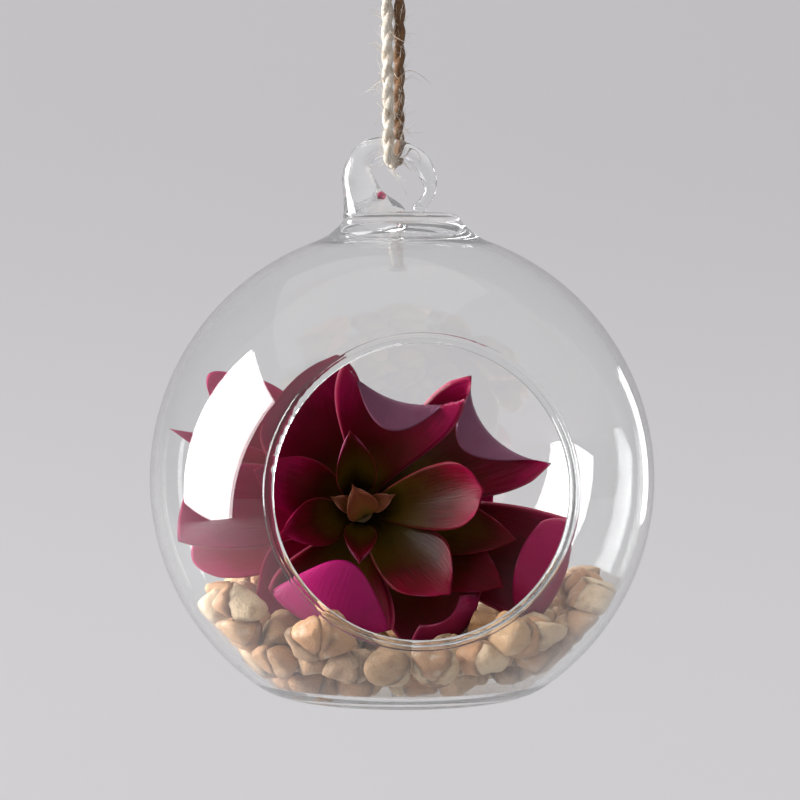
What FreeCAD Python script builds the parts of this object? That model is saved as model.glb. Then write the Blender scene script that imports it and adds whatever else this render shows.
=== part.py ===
import FreeCAD, Part
import math
import os
import random
import Sketcher

from dataclasses import dataclass
from FreeCAD import Placement, Rotation, Vector

# A hanging globe terrarium: a blown glass ball with a round mouth in its front and a hook on its
# crown, a bed of pebbles, a succulent with curled leaves, and a loop of jute twine through the hook.
# Millimetres. The origin is the middle of the flat base, +Z is up and the mouth faces -Y.

doc = FreeCAD.newDocument("GlassTerrarium")
sheet = doc.addObject("Spreadsheet::Sheet", "sizes")

# Driving sizes: alias, value, meaning
SIZES = [
    ("globe_radius", 50.0, "outside of the glass ball"),
    ("wall", 1.6, "thickness of the blown glass"),
    ("base_cut", 7.5, "how much of the ball is flattened away at its base"),
    ("base_floor", 1.8, "thickness of the glass floor"),
    ("base_corner", 12.0, "rounding between the flat base and the ball"),
    ("base_ground", 0.3, "depth ground off the rounding, which leaves a flat foot with a crisp edge"),
    ("mouth_radius", 27.2, "clear radius of the mouth"),
    ("bead_radius", 1.05, "section radius of the fire-polished bead"),
    ("neck_radius", 11.6, "outer radius of the neck's top"),
    ("neck_rise", 2.5, "height of the neck's rim above the ball"),
    ("neck_rim", 1.8, "rounding of the neck's rim"),
    ("neck_flare", 12.0, "hollow curve from the ball up to the neck"),
    ("neck_dish", 0.25, "depth of the dished top of the neck"),
    ("eye_x", -1.5, "sideways place of the middle of the hook's eye"),
    ("eye_radius", 5.2, "nominal radius of the hook's eye"),
    ("rod_radius", 2.95, "radius of the hook's rod beside the eye"),
    ("tip_radius", 1.35, "radius of the round tip of the hook"),
    ("twine_radius", 1.05, "radius of the twine"),
    ("twine_spread", 1.25, "sideways distance of each leg from the loop's middle"),
    ("twine_rise", 37.2, "where the legs go into the knot, above the middle of the hook's eye"),
    ("twine_gap", 0.15, "clearance between the twine and the hook"),
    ("knot_radius", 2.9, "radius of the knot"),
    ("knot_length", 5.2, "height of the knot"),
    ("loop_radius", 3.6, "middle radius of the hanging eye above the knot"),
    ("stem_radius", 2.3, "radius of the plant's stem"),
    ("stem_bend", 8.0, "radius of the bend in the stem"),
    ("stem_tip", 3.2, "how far the stem stands in front of the rosette's middle"),
    ("stem_length", 17.0, "straight part of the stem behind its tip"),
    ("stem_foot", 4.2, "height of the stem's lower end above the glass floor"),
    ("plant_gap", 1.0, "clearance between the longest leaf and the glass"),
    ("leaf_thickness", 1.0, "thickness of a leaf in its middle"),
    ("leaf_gap", 0.12, "clearance between a leaf's foot and the stem"),
    ("pebble_pitch", 8.4, "mean distance between pebbles that lie side by side"),
    ("pebble_layer", 5.0, "mean distance between pebbles that lie on each other"),
    ("pebble_gap", 0.3, "clearance between neighbouring pebbles"),
    ("glass_gap", 0.25, "clearance between the pebbles and the glass"),
    ("bed_depth", 11.2, "depth of the pebble bed in the middle"),
    ("bed_rise", 10.0, "how much higher the bed lies at the sides"),
]
# The plant is drawn for this reach, from the middle of the ball to the end of its longest leaf
DRAWN_REACH = 47.4
# The eye's middle stands this many eye radii above the neck
EYE_RISE = 1.31
# The round tip sinks a little into the neck: its middle lies this many tip radii above the dish
TIP_SEAT = 0.94

# Sizes and places that follow from the others
DERIVED = [
    ("centre_height", "=globe_radius - base_cut", "middle of the ball"),
    ("neck_top", "=centre_height + globe_radius + neck_rise", "rim of the neck"),
    ("eye_height", f"=neck_top + {EYE_RISE} * eye_radius", "middle of the hook's eye"),
    ("tip_height", f"=neck_top - neck_dish + {TIP_SEAT} * tip_radius", "tip of the hook, resting on the neck"),
    ("twine_top", "=eye_height + twine_rise", "underside of the knot"),
    ("plant_unit", f"=(globe_radius - wall - plant_gap) / {DRAWN_REACH}", "unit of the plant's sizes"),
    ("rosette_x", "=-8.6 * plant_unit", "sideways place of the middle of the rosette"),
    ("rosette_y", "=-3 * plant_unit", "depth of the middle of the rosette"),
    ("rosette_height", "=centre_height - 6 * plant_unit", "middle of the rosette"),
    ("stem_end", "=base_floor + stem_foot", "lower end of the stem"),
    ("bed_height", "=base_floor + bed_depth", "surface of the pebble bed in the middle"),
]
for row, (alias, value, note) in enumerate(SIZES + DERIVED, start=1):
    sheet.set(f"A{row}", note)
    sheet.set(f"B{row}", str(value))
    sheet.setAlias(f"B{row}", alias)
doc.recompute()


def size(alias):
    return float(sheet.get(alias))


def origin_plane(body, role):
    return next(f for f in body.Origin.OriginFeatures if f.Role == role)


def sketch_on(body, role, name):
    sketch = body.newObject("Sketcher::SketchObject", name)
    sketch.AttachmentSupport = [(origin_plane(body, role), "")]
    sketch.MapMode = "FlatFace"
    return sketch


def arc(x, z, radius, start, end):
    circle = Part.Circle(Vector(x, z, 0), Vector(0, 0, 1), radius)
    return Part.ArcOfCircle(circle, start, end)


def line(x0, z0, x1, z1):
    return Part.LineSegment(Vector(x0, z0, 0), Vector(x1, z1, 0))


def bind(sketch, name, index, expression):
    sketch.renameConstraint(index, name)
    sketch.setExpression(f"Constraints.{name}", expression)


# Glass ball with its neck, as one turned outline
def globe_outline(body):
    ball, height = size("globe_radius"), size("centre_height")
    corner, flare, rim = size("base_corner"), size("neck_flare"), size("neck_rim")
    corner_z = corner - size("base_ground")
    rim_x, rim_z = size("neck_radius") - rim, size("neck_top") - rim
    dish = size("neck_dish")
    corner_x = math.sqrt((ball - corner) ** 2 - (height - corner_z) ** 2)
    foot_x = corner_x + math.sqrt(corner**2 - corner_z**2)
    # the flare's centre is ball + flare from the ball's centre and flare + rim from the rim's
    apart = math.hypot(rim_x, rim_z - height)
    along = ((ball + flare) ** 2 - (flare + rim) ** 2 + apart**2) / (2 * apart)
    aside = math.sqrt((ball + flare) ** 2 - along**2)
    ux, uz = rim_x / apart, (rim_z - height) / apart
    flare_x = along * ux + aside * uz
    flare_z = height + along * uz - aside * ux
    foot = math.atan2(-corner_z, foot_x - corner_x)
    low = math.atan2(corner_z - height, corner_x)
    high = math.atan2(flare_z - height, flare_x)
    meet = math.atan2(rim_z - flare_z, rim_x - flare_x) + 2 * math.pi
    dish_radius = (rim_x**2 + dish**2) / (2 * dish)
    dish_end = -math.acos(rim_x / dish_radius)

    sketch = sketch_on(body, "XZ_Plane", "globe_outline")
    sketch.addGeometry(
        [
            line(0, 0, foot_x, 0),
            arc(corner_x, corner_z, corner, foot, low),
            arc(0, height, ball, low, high),
            arc(flare_x, flare_z, flare, meet, high + math.pi),
            arc(rim_x, rim_z, rim, meet - math.pi, math.pi / 2),
            arc(0, rim_z + rim - dish + dish_radius, dish_radius, -math.pi / 2, dish_end),
            line(0, rim_z + rim - dish, 0, 0),
        ],
        False,
    )
    sketch.addConstraint(
        [
            Sketcher.Constraint("Coincident", 0, 1, -1, 1),
            Sketcher.Constraint("Horizontal", 0),
            Sketcher.Constraint("Coincident", 0, 2, 1, 1),
            Sketcher.Constraint("Tangent", 1, 2, 2, 1),
            Sketcher.Constraint("Tangent", 2, 2, 3, 2),
            Sketcher.Constraint("Tangent", 3, 1, 4, 1),
            Sketcher.Constraint("Coincident", 4, 2, 5, 2),
            Sketcher.Constraint("Coincident", 5, 1, 6, 1),
            Sketcher.Constraint("Coincident", 6, 2, -1, 1),
            Sketcher.Constraint("Vertical", 6),
            Sketcher.Constraint("PointOnObject", 2, 3, -2),
            Sketcher.Constraint("PointOnObject", 5, 3, -2),
            Sketcher.Constraint("Vertical", 4, 3, 4, 2),
        ]
    )
    named = [
        ("centre", Sketcher.Constraint("DistanceY", -1, 1, 2, 3, height), "sizes.centre_height"),
        ("ball", Sketcher.Constraint("Radius", 2, ball), "sizes.globe_radius"),
        ("corner", Sketcher.Constraint("Radius", 1, corner), "sizes.base_corner"),
        (
            "ground",
            Sketcher.Constraint("DistanceY", -1, 1, 1, 3, corner_z),
            "sizes.base_corner - sizes.base_ground",
        ),
        ("flare", Sketcher.Constraint("Radius", 3, flare), "sizes.neck_flare"),
        ("rim", Sketcher.Constraint("Radius", 4, rim), "sizes.neck_rim"),
        (
            "neck",
            Sketcher.Constraint("DistanceX", -1, 1, 4, 3, rim_x),
            "sizes.neck_radius - sizes.neck_rim",
        ),
        (
            "top",
            Sketcher.Constraint("DistanceY", -1, 1, 4, 2, rim_z + rim),
            "sizes.neck_top",
        ),
        ("dish", Sketcher.Constraint("DistanceY", 5, 1, 4, 2, dish), "sizes.neck_dish"),
    ]
    for name, constraint, expression in named:
        bind(sketch, name, sketch.addConstraint(constraint), expression)
    return sketch


def cavity_outline(body):
    inner = size("globe_radius") - size("wall")
    height, floor = size("centre_height"), size("base_floor")
    corner = size("base_corner") - size("wall")
    corner_x = math.sqrt((inner - corner) ** 2 - (height - floor - corner) ** 2)
    low = math.atan2(floor + corner - height, corner_x)

    sketch = sketch_on(body, "XZ_Plane", "cavity_outline")
    sketch.addGeometry(
        [
            line(0, floor, corner_x, floor),
            arc(corner_x, floor + corner, corner, -math.pi / 2, low),
            arc(0, height, inner, low, math.pi / 2),
            line(0, height + inner, 0, floor),
        ],
        False,
    )
    sketch.addConstraint(
        [
            Sketcher.Constraint("Horizontal", 0),
            Sketcher.Constraint("Tangent", 0, 2, 1, 1),
            Sketcher.Constraint("Tangent", 1, 2, 2, 1),
            Sketcher.Constraint("Coincident", 2, 2, 3, 1),
            Sketcher.Constraint("Coincident", 3, 2, 0, 1),
            Sketcher.Constraint("PointOnObject", 2, 3, -2),
            Sketcher.Constraint("PointOnObject", 2, 2, -2),
            Sketcher.Constraint("PointOnObject", 0, 1, -2),
        ]
    )
    named = [
        ("centre", Sketcher.Constraint("DistanceY", -1, 1, 2, 3, height), "sizes.centre_height"),
        (
            "ball",
            Sketcher.Constraint("Radius", 2, inner),
            "sizes.globe_radius - sizes.wall",
        ),
        (
            "corner",
            Sketcher.Constraint("Radius", 1, corner),
            "sizes.base_corner - sizes.wall",
        ),
        ("floor", Sketcher.Constraint("DistanceY", -1, 1, 0, 1, floor), "sizes.base_floor"),
    ]
    for name, constraint, expression in named:
        bind(sketch, name, sketch.addConstraint(constraint), expression)
    return sketch


def mouth_circle(body):
    sketch = sketch_on(body, "XZ_Plane", "mouth_circle")
    height = size("centre_height")
    radius = size("mouth_radius") + size("bead_radius")
    sketch.addGeometry(Part.Circle(Vector(0, height, 0), Vector(0, 0, 1), radius), False)
    sketch.addConstraint(Sketcher.Constraint("PointOnObject", 0, 3, -2))
    index = sketch.addConstraint(Sketcher.Constraint("DistanceY", -1, 1, 0, 3, height))
    bind(sketch, "centre", index, "sizes.centre_height")
    index = sketch.addConstraint(Sketcher.Constraint("Radius", 0, radius))
    bind(sketch, "mouth", index, "sizes.mouth_radius + sizes.bead_radius")
    return sketch


def bead_section(body):
    middle = size("mouth_radius") + size("bead_radius")
    depth = math.sqrt((size("globe_radius") - size("wall") / 2) ** 2 - middle**2)
    sketch = sketch_on(body, "YZ_Plane", "bead_section")
    sketch.setExpression("AttachmentOffset.Base.y", "sizes.centre_height")
    sketch.addGeometry(
        Part.Circle(Vector(-depth, middle, 0), Vector(0, 0, 1), size("bead_radius")), False
    )
    index = sketch.addConstraint(Sketcher.Constraint("DistanceX", 0, 3, -1, 1, depth))
    reach = "sqrt((sizes.globe_radius - sizes.wall / 2)^2"
    bind(sketch, "depth", index, f"{reach} - (sizes.mouth_radius + sizes.bead_radius)^2)")
    index = sketch.addConstraint(Sketcher.Constraint("DistanceY", -1, 1, 0, 3, middle))
    bind(sketch, "middle", index, "sizes.mouth_radius + sizes.bead_radius")
    index = sketch.addConstraint(Sketcher.Constraint("Radius", 0, size("bead_radius")))
    bind(sketch, "bead", index, "sizes.bead_radius")
    return sketch


def build_vessel():
    body = doc.addObject("PartDesign::Body", "vessel")
    outline = globe_outline(body)
    ball = body.newObject("PartDesign::Revolution", "ball")
    ball.Profile = outline
    ball.ReferenceAxis = (outline, ["V_Axis"])
    ball.Angle = 360
    hollow = cavity_outline(body)
    cavity = body.newObject("PartDesign::Groove", "cavity")
    cavity.Profile = hollow
    cavity.ReferenceAxis = (hollow, ["V_Axis"])
    cavity.Angle = 360
    mouth = body.newObject("PartDesign::Pocket", "mouth")
    mouth.Profile = mouth_circle(body)
    mouth.setExpression("Length", "sizes.globe_radius * 1.1")
    mouth.Reversed = True
    section = bead_section(body)
    bead = body.newObject("PartDesign::Revolution", "bead")
    bead.Profile = section
    bead.ReferenceAxis = (section, ["H_Axis"])
    bead.Angle = 360
    body.Tip = bead
    return body


# Hook: the rod is drawn out of the left of the neck and curls over the eye to a round tip on the neck.
# Each station is the rod's middle (sideways and up from the eye's middle, in eye radii) and its
# thickness (in rod radii). The last one is the middle of the round tip.
HOOK_STATIONS = [
    (-0.71, -1.85, 2.24),
    (-0.87, -1.38, 2.03),
    (-1.15, -0.88, 1.53),
    (-1.31, -0.31, 1.19),
    (-1.40, 0.27, 1.00),
    (-1.12, 0.93, 0.78),
    (-0.04, 1.21, 0.60),
    (0.90, 0.76, 0.63),
    (1.32, 0.03, 0.51),
    (1.36, -0.42, 0.41),
    (1.20, -0.78, 0.37),
    (0.94, -1.11, 0.37),
]
HOOK_CROWN = HOOK_STATIONS[6]


def hook_point(across, rise):
    scale = size("eye_radius")
    return Vector(size("eye_x") + across * scale, 0, size("eye_height") + rise * scale)


def build_hook():
    middles = [hook_point(x, z) for x, z, _ in HOOK_STATIONS]
    middles[-1].z = size("tip_height")
    circles = []
    for index, (_, _, thickness) in enumerate(HOOK_STATIONS):
        before = middles[max(index - 1, 0)]
        onward = middles[min(index + 1, len(middles) - 1)] - before
        circle = doc.addObject("Part::Circle", f"hook_station_{index + 1}")
        turn = Rotation(Vector(0, 1, 0), Vector(), onward, "ZXY")
        circle.Placement = Placement(middles[index], turn)
        circle.setExpression("Radius", f"sizes.rod_radius * {thickness}")
        circles.append(circle)
    rod = doc.addObject("Part::Loft", "hook_rod")
    rod.Sections = circles
    rod.Solid = True
    tip = doc.addObject("Part::Sphere", "hook_tip")
    tip.setExpression("Radius", "sizes.tip_radius")
    tip.Placement = Placement(middles[-1], Rotation())
    return rod, tip


def build_globe():
    vessel = build_vessel()
    rod, tip = build_hook()
    globe = doc.addObject("Part::MultiFuse", "globe")
    globe.Shapes = [vessel, rod, tip]
    globe.Label = "globe"
    return globe


# Twine: both legs come straight down from the knot, spread round the rod and turn under its crown
def twine_route():
    crown = hook_point(*HOOK_CROWN[:2])
    rod = size("rod_radius") * HOOK_CROWN[2]
    reach = rod + 2 * size("twine_gap") + size("twine_radius")
    spread, top = size("twine_spread"), size("twine_top")
    close = size("twine_gap")
    legs = []
    for side in (-1, 1):
        x = crown.x + side * spread
        legs.append(
            [
                Vector(x, side * close, top),
                Vector(x, side * close, top - 4 * size("twine_radius")),
                Vector(x, side * reach, crown.z + rod),
                Vector(x, side * reach, crown.z - reach),
            ]
        )
    return legs[0] + legs[1][::-1]


def rounded_wire(points, share=0.45):
    edges = []
    start = points[0]
    for before, corner, after in zip(points, points[1:], points[2:]):
        back, on = before - corner, after - corner
        turn = math.pi - back.getAngle(on)
        trim = share * min(back.Length, on.Length)
        radius = trim / math.tan(turn / 2)
        back.normalize()
        on.normalize()
        inward = back + on
        inward.normalize()
        middle = corner + inward * (radius / math.cos(turn / 2) - radius)
        first, last = corner + back * trim, corner + on * trim
        edges.append(Part.LineSegment(start, first).toShape())
        edges.append(Part.Arc(first, middle, last).toShape())
        print(f"twine bend radius {radius:.1f} mm")
        start = last
    edges.append(Part.LineSegment(start, points[-1]).toShape())
    return Part.Wire(edges)


def build_twine():
    points = twine_route()
    path = rounded_wire(points)
    radius = size("twine_radius")
    ring = Part.Wire(Part.makeCircle(radius, points[0], points[1] - points[0]))
    shape = path.makePipeShell([ring], True, False)
    expected = math.pi * radius**2 * path.Length
    print(f"twine volume {shape.Volume:.1f}, section times length {expected:.1f}")
    print(f"twine length {path.Length:.1f} mm")
    twine = doc.addObject("Part::Feature", "twine")
    twine.Shape = shape
    twine.Label = "twine"
    return twine


def build_knot():
    crown = hook_point(*HOOK_CROWN[:2])
    top, radius, length = size("twine_top"), size("knot_radius"), size("knot_length")
    ball = doc.addObject("Part::Ellipsoid", "knot_ball")
    ball.setExpression("Radius1", "sizes.knot_length / 2")
    ball.setExpression("Radius2", "sizes.knot_radius")
    ball.setExpression("Radius3", "sizes.knot_radius")
    ball.Placement.Base = Vector(crown.x, 0, top + length * 0.3)
    block = doc.addObject("Part::Box", "knot_trim")
    block.Length = 4 * radius
    block.Width = 4 * radius
    block.Height = length
    block.Placement.Base = Vector(crown.x - 2 * radius, -2 * radius, top - length)
    trimmed = doc.addObject("Part::Cut", "knot_body")
    trimmed.Base = ball
    trimmed.Tool = block
    ring = doc.addObject("Part::Torus", "knot_eye")
    ring.setExpression("Radius1", "sizes.loop_radius")
    ring.setExpression("Radius2", "sizes.twine_radius")
    rise = length * 0.65 + size("loop_radius")
    ring.Placement = Placement(
        Vector(crown.x, 0, top + rise), Rotation(Vector(1, 0, 0), 90)
    )
    knot = doc.addObject("Part::MultiFuse", "twine_knot")
    knot.Shapes = [trimmed, ring]
    knot.Label = "twine_knot"
    return knot


# Stem: straight back from the middle of the rosette, then bent down into the pebbles
def build_stem():
    body = doc.addObject("PartDesign::Body", "succulent_stem")
    body.Label = "succulent_stem"
    front, height = size("rosette_y") - size("stem_tip"), size("rosette_height")
    back, bend, foot = front + size("stem_length"), size("stem_bend"), size("stem_end")
    spine = sketch_on(body, "YZ_Plane", "stem_path")
    spine.setExpression("AttachmentOffset.Base.z", "sizes.rosette_x")
    spine.addGeometry(
        [
            line(front, height, back, height),
            arc(back, height - bend, bend, 0, math.pi / 2),
            line(back + bend, height - bend, back + bend, foot),
        ],
        False,
    )
    spine.addConstraint(
        [
            Sketcher.Constraint("Tangent", 0, 2, 1, 2),
            Sketcher.Constraint("Tangent", 1, 1, 2, 1),
            Sketcher.Constraint("Horizontal", 0),
            Sketcher.Constraint("Vertical", 2),
        ]
    )
    named = [
        (
            "front",
            Sketcher.Constraint("DistanceX", -1, 1, 0, 1, front),
            "sizes.rosette_y - sizes.stem_tip",
        ),
        ("height", Sketcher.Constraint("DistanceY", -1, 1, 0, 1, height), "sizes.rosette_height"),
        ("straight", Sketcher.Constraint("DistanceX", 0, 1, 0, 2, back - front), "sizes.stem_length"),
        ("bend", Sketcher.Constraint("Radius", 1, bend), "sizes.stem_bend"),
        ("foot", Sketcher.Constraint("DistanceY", -1, 1, 2, 2, foot), "sizes.stem_end"),
    ]
    for name, constraint, expression in named:
        bind(spine, name, spine.addConstraint(constraint), expression)
    ring = sketch_on(body, "XZ_Plane", "stem_section")
    ring.setExpression("AttachmentOffset.Base.x", "sizes.rosette_x")
    ring.setExpression("AttachmentOffset.Base.y", "sizes.rosette_height")
    ring.setExpression("AttachmentOffset.Base.z", "sizes.stem_tip - sizes.rosette_y")
    ring.addGeometry(Part.Circle(Vector(), Vector(0, 0, 1), size("stem_radius")), False)
    ring.addConstraint(Sketcher.Constraint("Coincident", 0, 3, -1, 1))
    index = ring.addConstraint(Sketcher.Constraint("Radius", 0, size("stem_radius")))
    bind(ring, "stem", index, "sizes.stem_radius")
    doc.recompute()
    pipe = body.newObject("PartDesign::AdditivePipe", "stem_sweep")
    pipe.Profile = ring
    pipe.Spine = spine
    body.Tip = pipe
    return body


# Leaves: each one grows from the stem and is a thin bowed shell with sharp margins. Lengths are in
# plant units, angles in degrees, and shares are of the leaf's own length or width.
@dataclass
class Leaf:
    name: str
    turn: float  # place round the stem, 0 to the right and 90 up
    lean: float  # away from the rosette's axis
    rise: float  # place along the axis, in front of the rosette's middle
    length: float
    width: float
    cup: float = 2.0  # how far the margins stand up
    foot: float = 0.26  # share of the width at the foot
    widest: float = 0.6  # share of the length where the leaf is widest
    end: float = 0.3  # share of the width at the end
    sharp: float = 2.2  # how late the leaf narrows
    bend: float = 10.0  # even bow along the length
    blunt: float = 0.12  # how much shorter the margins are
    point: float = 1.2  # small tip beyond the end
    fold: float = 0.0  # turn of the folded end
    fold_at: float = 1.2  # share of the length where the fold starts
    fold_run: float = 5.0  # length of the fold's curve
    ears: float = 0.0  # how much later the margins fold
    slant: float = 0.0  # how much farther the clockwise margin reaches
    waist: float = 1.0  # above 1 the lower half is narrower
    offset: float = 1.0  # distance from the axis in stem radii
    rows: int = 11
    columns: int = 7


def broad(name, turn, lean, rise, length, width, **other):
    shape = dict(cup=3.0, foot=0.16, widest=0.74, end=0.8, bend=14, blunt=0.08, point=0)
    shape.update(ears=4.0, fold_at=0.75, fold=120, waist=1.5)
    shape.update(other)
    return Leaf(name, turn, lean, rise, length, width, **shape)


def bud(name, turn, lean, length, width, cup, offset):
    shape = dict(foot=0.42, widest=0.5, bend=-15, rows=7, columns=5)
    return Leaf(name, turn, lean, 3.5, length, width, cup=cup, offset=offset, **shape)


LEAVES = [
    bud("bud_1", -65, -36, 9.0, 6.5, 1.4, 0.62),
    bud("bud_2", 25, 40, 6.0, 3.6, 0.8, 0.75),
    bud("bud_3", 158, 40, 6.0, 3.4, 0.8, 0.7),
    Leaf("leaf_inner_1", 103, 40, 2.4, 21, 8, foot=0.35, widest=0.5),
    Leaf("leaf_inner_2", -96, 46, 2.2, 12, 6.5, cup=1.6, foot=0.4, widest=0.5, end=0.25),
    Leaf("leaf_inner_3", 7, 52, 1.0, 28, 13, cup=2.2, widest=0.8, end=0.7, bend=16, point=0.6,
         blunt=0.05),
    Leaf("leaf_inner_4", -163, 50, 1.0, 20, 9.5, cup=1.8, end=0.45),
    Leaf("leaf_inner_5", -47, 57, -0.4, 26, 14, widest=0.75, end=0.6, bend=12),
    Leaf("leaf_inner_6", 162, 58, -0.6, 24, 12, cup=1.6, end=0.6),
    Leaf("leaf_inner_7", -13, 66, -1.8, 30, 11, cup=1.0, end=0.5, bend=4),
    Leaf("leaf_inner_8", -31, 69, -3.1, 31, 14, cup=1.6, end=0.5, bend=8),
    broad("leaf_outer_1", 73, 56, -2.0, 30.5, 25, widest=0.9, end=0.95, blunt=-0.06, fold_at=0.74,
          fold=130, fold_run=4, ears=9.5),
    broad("leaf_outer_2", -109, 56, -3.0, 44, 25, widest=0.7, end=0.6, sharp=3.5, blunt=0.16,
          fold_at=0.6, fold=135, fold_run=8, ears=-1),
    broad("leaf_outer_3", 29.5, 68, -4.6, 36.5, 25, cup=2, widest=0.85, end=0.9, sharp=1.1, bend=8,
          blunt=0.03, fold_at=0.72, fold=135, fold_run=6, ears=8, slant=2.6),
    broad("leaf_outer_4", 119, 68, -5.2, 29.5, 23, cup=2, widest=0.8, end=0.85, waist=1, fold_at=0.9,
          fold=60, ears=0, slant=3),
    broad("leaf_outer_5", -20, 76, -6.4, 54, 22, cup=2.5, widest=0.75, end=0.75, sharp=4, waist=1,
          bend=4, blunt=0.06, fold_at=0.7, fold=140, fold_run=8, ears=0),
    broad("leaf_outer_6", -55, 71, -4.8, 38, 19, cup=2.5, end=0.5, waist=1, bend=5, fold_at=0.76,
          fold=112, ears=-2),
    broad("leaf_outer_7", -6, 80, -9.7, 27, 13, cup=2, waist=1, bend=6, fold_at=0.86, fold_run=4,
          ears=2),
    Leaf("leaf_back_1", 180, 76, -5.6, 34.5, 17, cup=2.5, widest=0.7, end=0.8, blunt=0.02, point=0,
         slant=-2),
    Leaf("leaf_back_2", 158, 80, -7.6, 38, 6.5, widest=0.4, bend=8),
    Leaf("leaf_back_3", 228, 74, -9.0, 30, 15, bend=4),
    Leaf("leaf_back_4", 139, 84, -10.4, 38, 15, end=0.5, sharp=2.8, bend=12, point=0),
    Leaf("leaf_back_5", 198, 84, -11.4, 33, 15, end=0.7, bend=6, point=0),
]
LEAF_AXIS = Vector(0, -1, 0.12)


def smooth(share):
    share = min(max(share, 0), 1)
    return share * share * (3 - 2 * share)


def leaf_outline(leaf, share):
    if share < leaf.widest:
        swelling = math.sin(share / leaf.widest * math.pi / 2) ** leaf.waist
        return leaf.foot + (1 - leaf.foot) * swelling
    narrowing = ((share - leaf.widest) / (1 - leaf.widest)) ** leaf.sharp
    return 1 - (1 - leaf.end) * narrowing


def leaf_frame(leaf):
    axis = Vector(LEAF_AXIS).normalize()
    right = (-axis).cross(Vector(0, 0, 1)).normalize()
    up = right.cross(-axis)
    turn, lean = math.radians(leaf.turn), math.radians(leaf.lean)
    outward = right * math.cos(turn) + up * math.sin(turn)
    along = axis * math.cos(lean) + outward * math.sin(lean)
    face = (axis - along * axis.dot(along)).normalize()
    reach = leaf.offset * (size("stem_radius") + size("leaf_gap"))
    middle = Vector(size("rosette_x"), size("rosette_y"), size("rosette_height"))
    rise = leaf.rise * size("plant_unit")
    foot = middle + Vector(reach * math.cos(turn), -rise, reach * math.sin(turn))
    return foot, along, face, along.cross(face)


# The middle surface as rows of points from the foot to the end
def leaf_grid(leaf, rows, columns, steps=6):
    foot, along, face, across = leaf_frame(leaf)
    length, width = size(f"{leaf.name}_length"), size(f"{leaf.name}_width")
    unit = size("plant_unit")
    grid = [[] for _ in range(rows)]
    for column in range(columns):
        u = 2 * column / (columns - 1) - 1
        end = length * (1 - leaf.blunt * u * u) + unit * leaf.point * max(0, 1 - abs(u) / 0.3)
        end += unit * leaf.slant * u
        crease = length * leaf.fold_at + unit * (leaf.ears * u * u + leaf.slant * u)
        run = out = heading = 0.0
        count = (rows - 1) * steps
        for step in range(count + 1):
            share = step / count
            place = share * end
            bow = leaf.bend * place / length
            folded = smooth((place - crease) / (unit * leaf.fold_run))
            now = math.radians(bow + leaf.fold * folded)
            if step:
                run += math.cos((now + heading) / 2) * end / count
                out += math.sin((now + heading) / 2) * end / count
            heading = now
            if step % steps:
                continue
            full = leaf_outline(leaf, share)
            lift = unit * leaf.cup * full * u * u * min(1, 5 * share)
            point = across * (width / 2 * full * u)
            point += along * (run - math.sin(now) * lift)
            point += face * (out + math.cos(now) * lift)
            grid[step // steps].append(foot + point)
    return grid


def flat_solid(points, triangles):
    faces = []
    for triangle in triangles:
        corners = [points[index] for index in triangle]
        faces.append(Part.Face(Part.makePolygon(corners + corners[:1])))
    shell = Part.Shell(faces)
    shell.sewShape()
    solid = Part.Solid(shell)
    if solid.Volume < 0:
        solid.reverse()
    return solid


def leaf_solid(leaf):
    rows, columns = leaf.rows, leaf.columns
    grid = leaf_grid(leaf, rows, columns)
    points, front, back = [], {}, {}
    for i in range(rows):
        for j in range(columns):
            across = grid[i][min(j + 1, columns - 1)] - grid[i][max(j - 1, 0)]
            along = grid[min(i + 1, rows - 1)][j] - grid[max(i - 1, 0)][j]
            u, v = 2 * j / (columns - 1) - 1, 2 * i / (rows - 1) - 1
            half = size("leaf_thickness") / 2 * (1 - u**4) * (1 - v**8)
            if i in (0, rows - 1) or j in (0, columns - 1):
                front[i, j] = back[i, j] = len(points)
                points.append(grid[i][j])
                continue
            raised = across.cross(along).normalize() * half
            front[i, j], back[i, j] = len(points), len(points) + 1
            points += [grid[i][j] + raised, grid[i][j] - raised]
    triangles = []
    for i in range(rows - 1):
        for j in range(columns - 1):
            for side, turned in ((front, False), (back, True)):
                a, b = side[i, j], side[i, j + 1]
                c, d = side[i + 1, j + 1], side[i + 1, j]
                # the diagonals meet every corner of the leaf
                if (j < columns // 2) == (i < rows // 2):
                    pair = [(a, b, c), (a, c, d)]
                else:
                    pair = [(a, b, d), (b, c, d)]
                triangles += [t[::-1] for t in pair] if turned else pair
    return flat_solid(points, triangles)


def build_leaves():
    leaves = []
    for leaf in LEAVES:
        item = doc.addObject("Part::Feature", leaf.name)
        item.Shape = leaf_solid(leaf)
        item.Label = leaf.name
        leaves.append(item)
    return leaves


# A convex stone is a list of faces, each a ring of corners; a plane cuts off what lies beyond it
def cut_stone(faces, normal, distance):
    kept, rim = [], []
    for face in faces:
        ring = []
        heights = [corner.dot(normal) - distance for corner in face]
        for index, corner in enumerate(face):
            follow = (index + 1) % len(face)
            here, there = heights[index], heights[follow]
            if here <= 0:
                ring.append(corner)
            if here * there < 0:
                crossing = corner + (face[follow] - corner) * (here / (here - there))
                ring.append(crossing)
                if all(crossing.distanceToPoint(known) > 1e-4 for known in rim):
                    rim.append(crossing)
        if len(ring) > 2:
            kept.append(ring)
    if len(rim) > 2:
        middle = sum(rim, Vector()) * (1 / len(rim))
        first = (rim[0] - middle).normalize()
        second = normal.cross(first)
        rim.sort(key=lambda p: math.atan2((p - middle).dot(second), (p - middle).dot(first)))
        kept.append(rim)
    return kept


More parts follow.
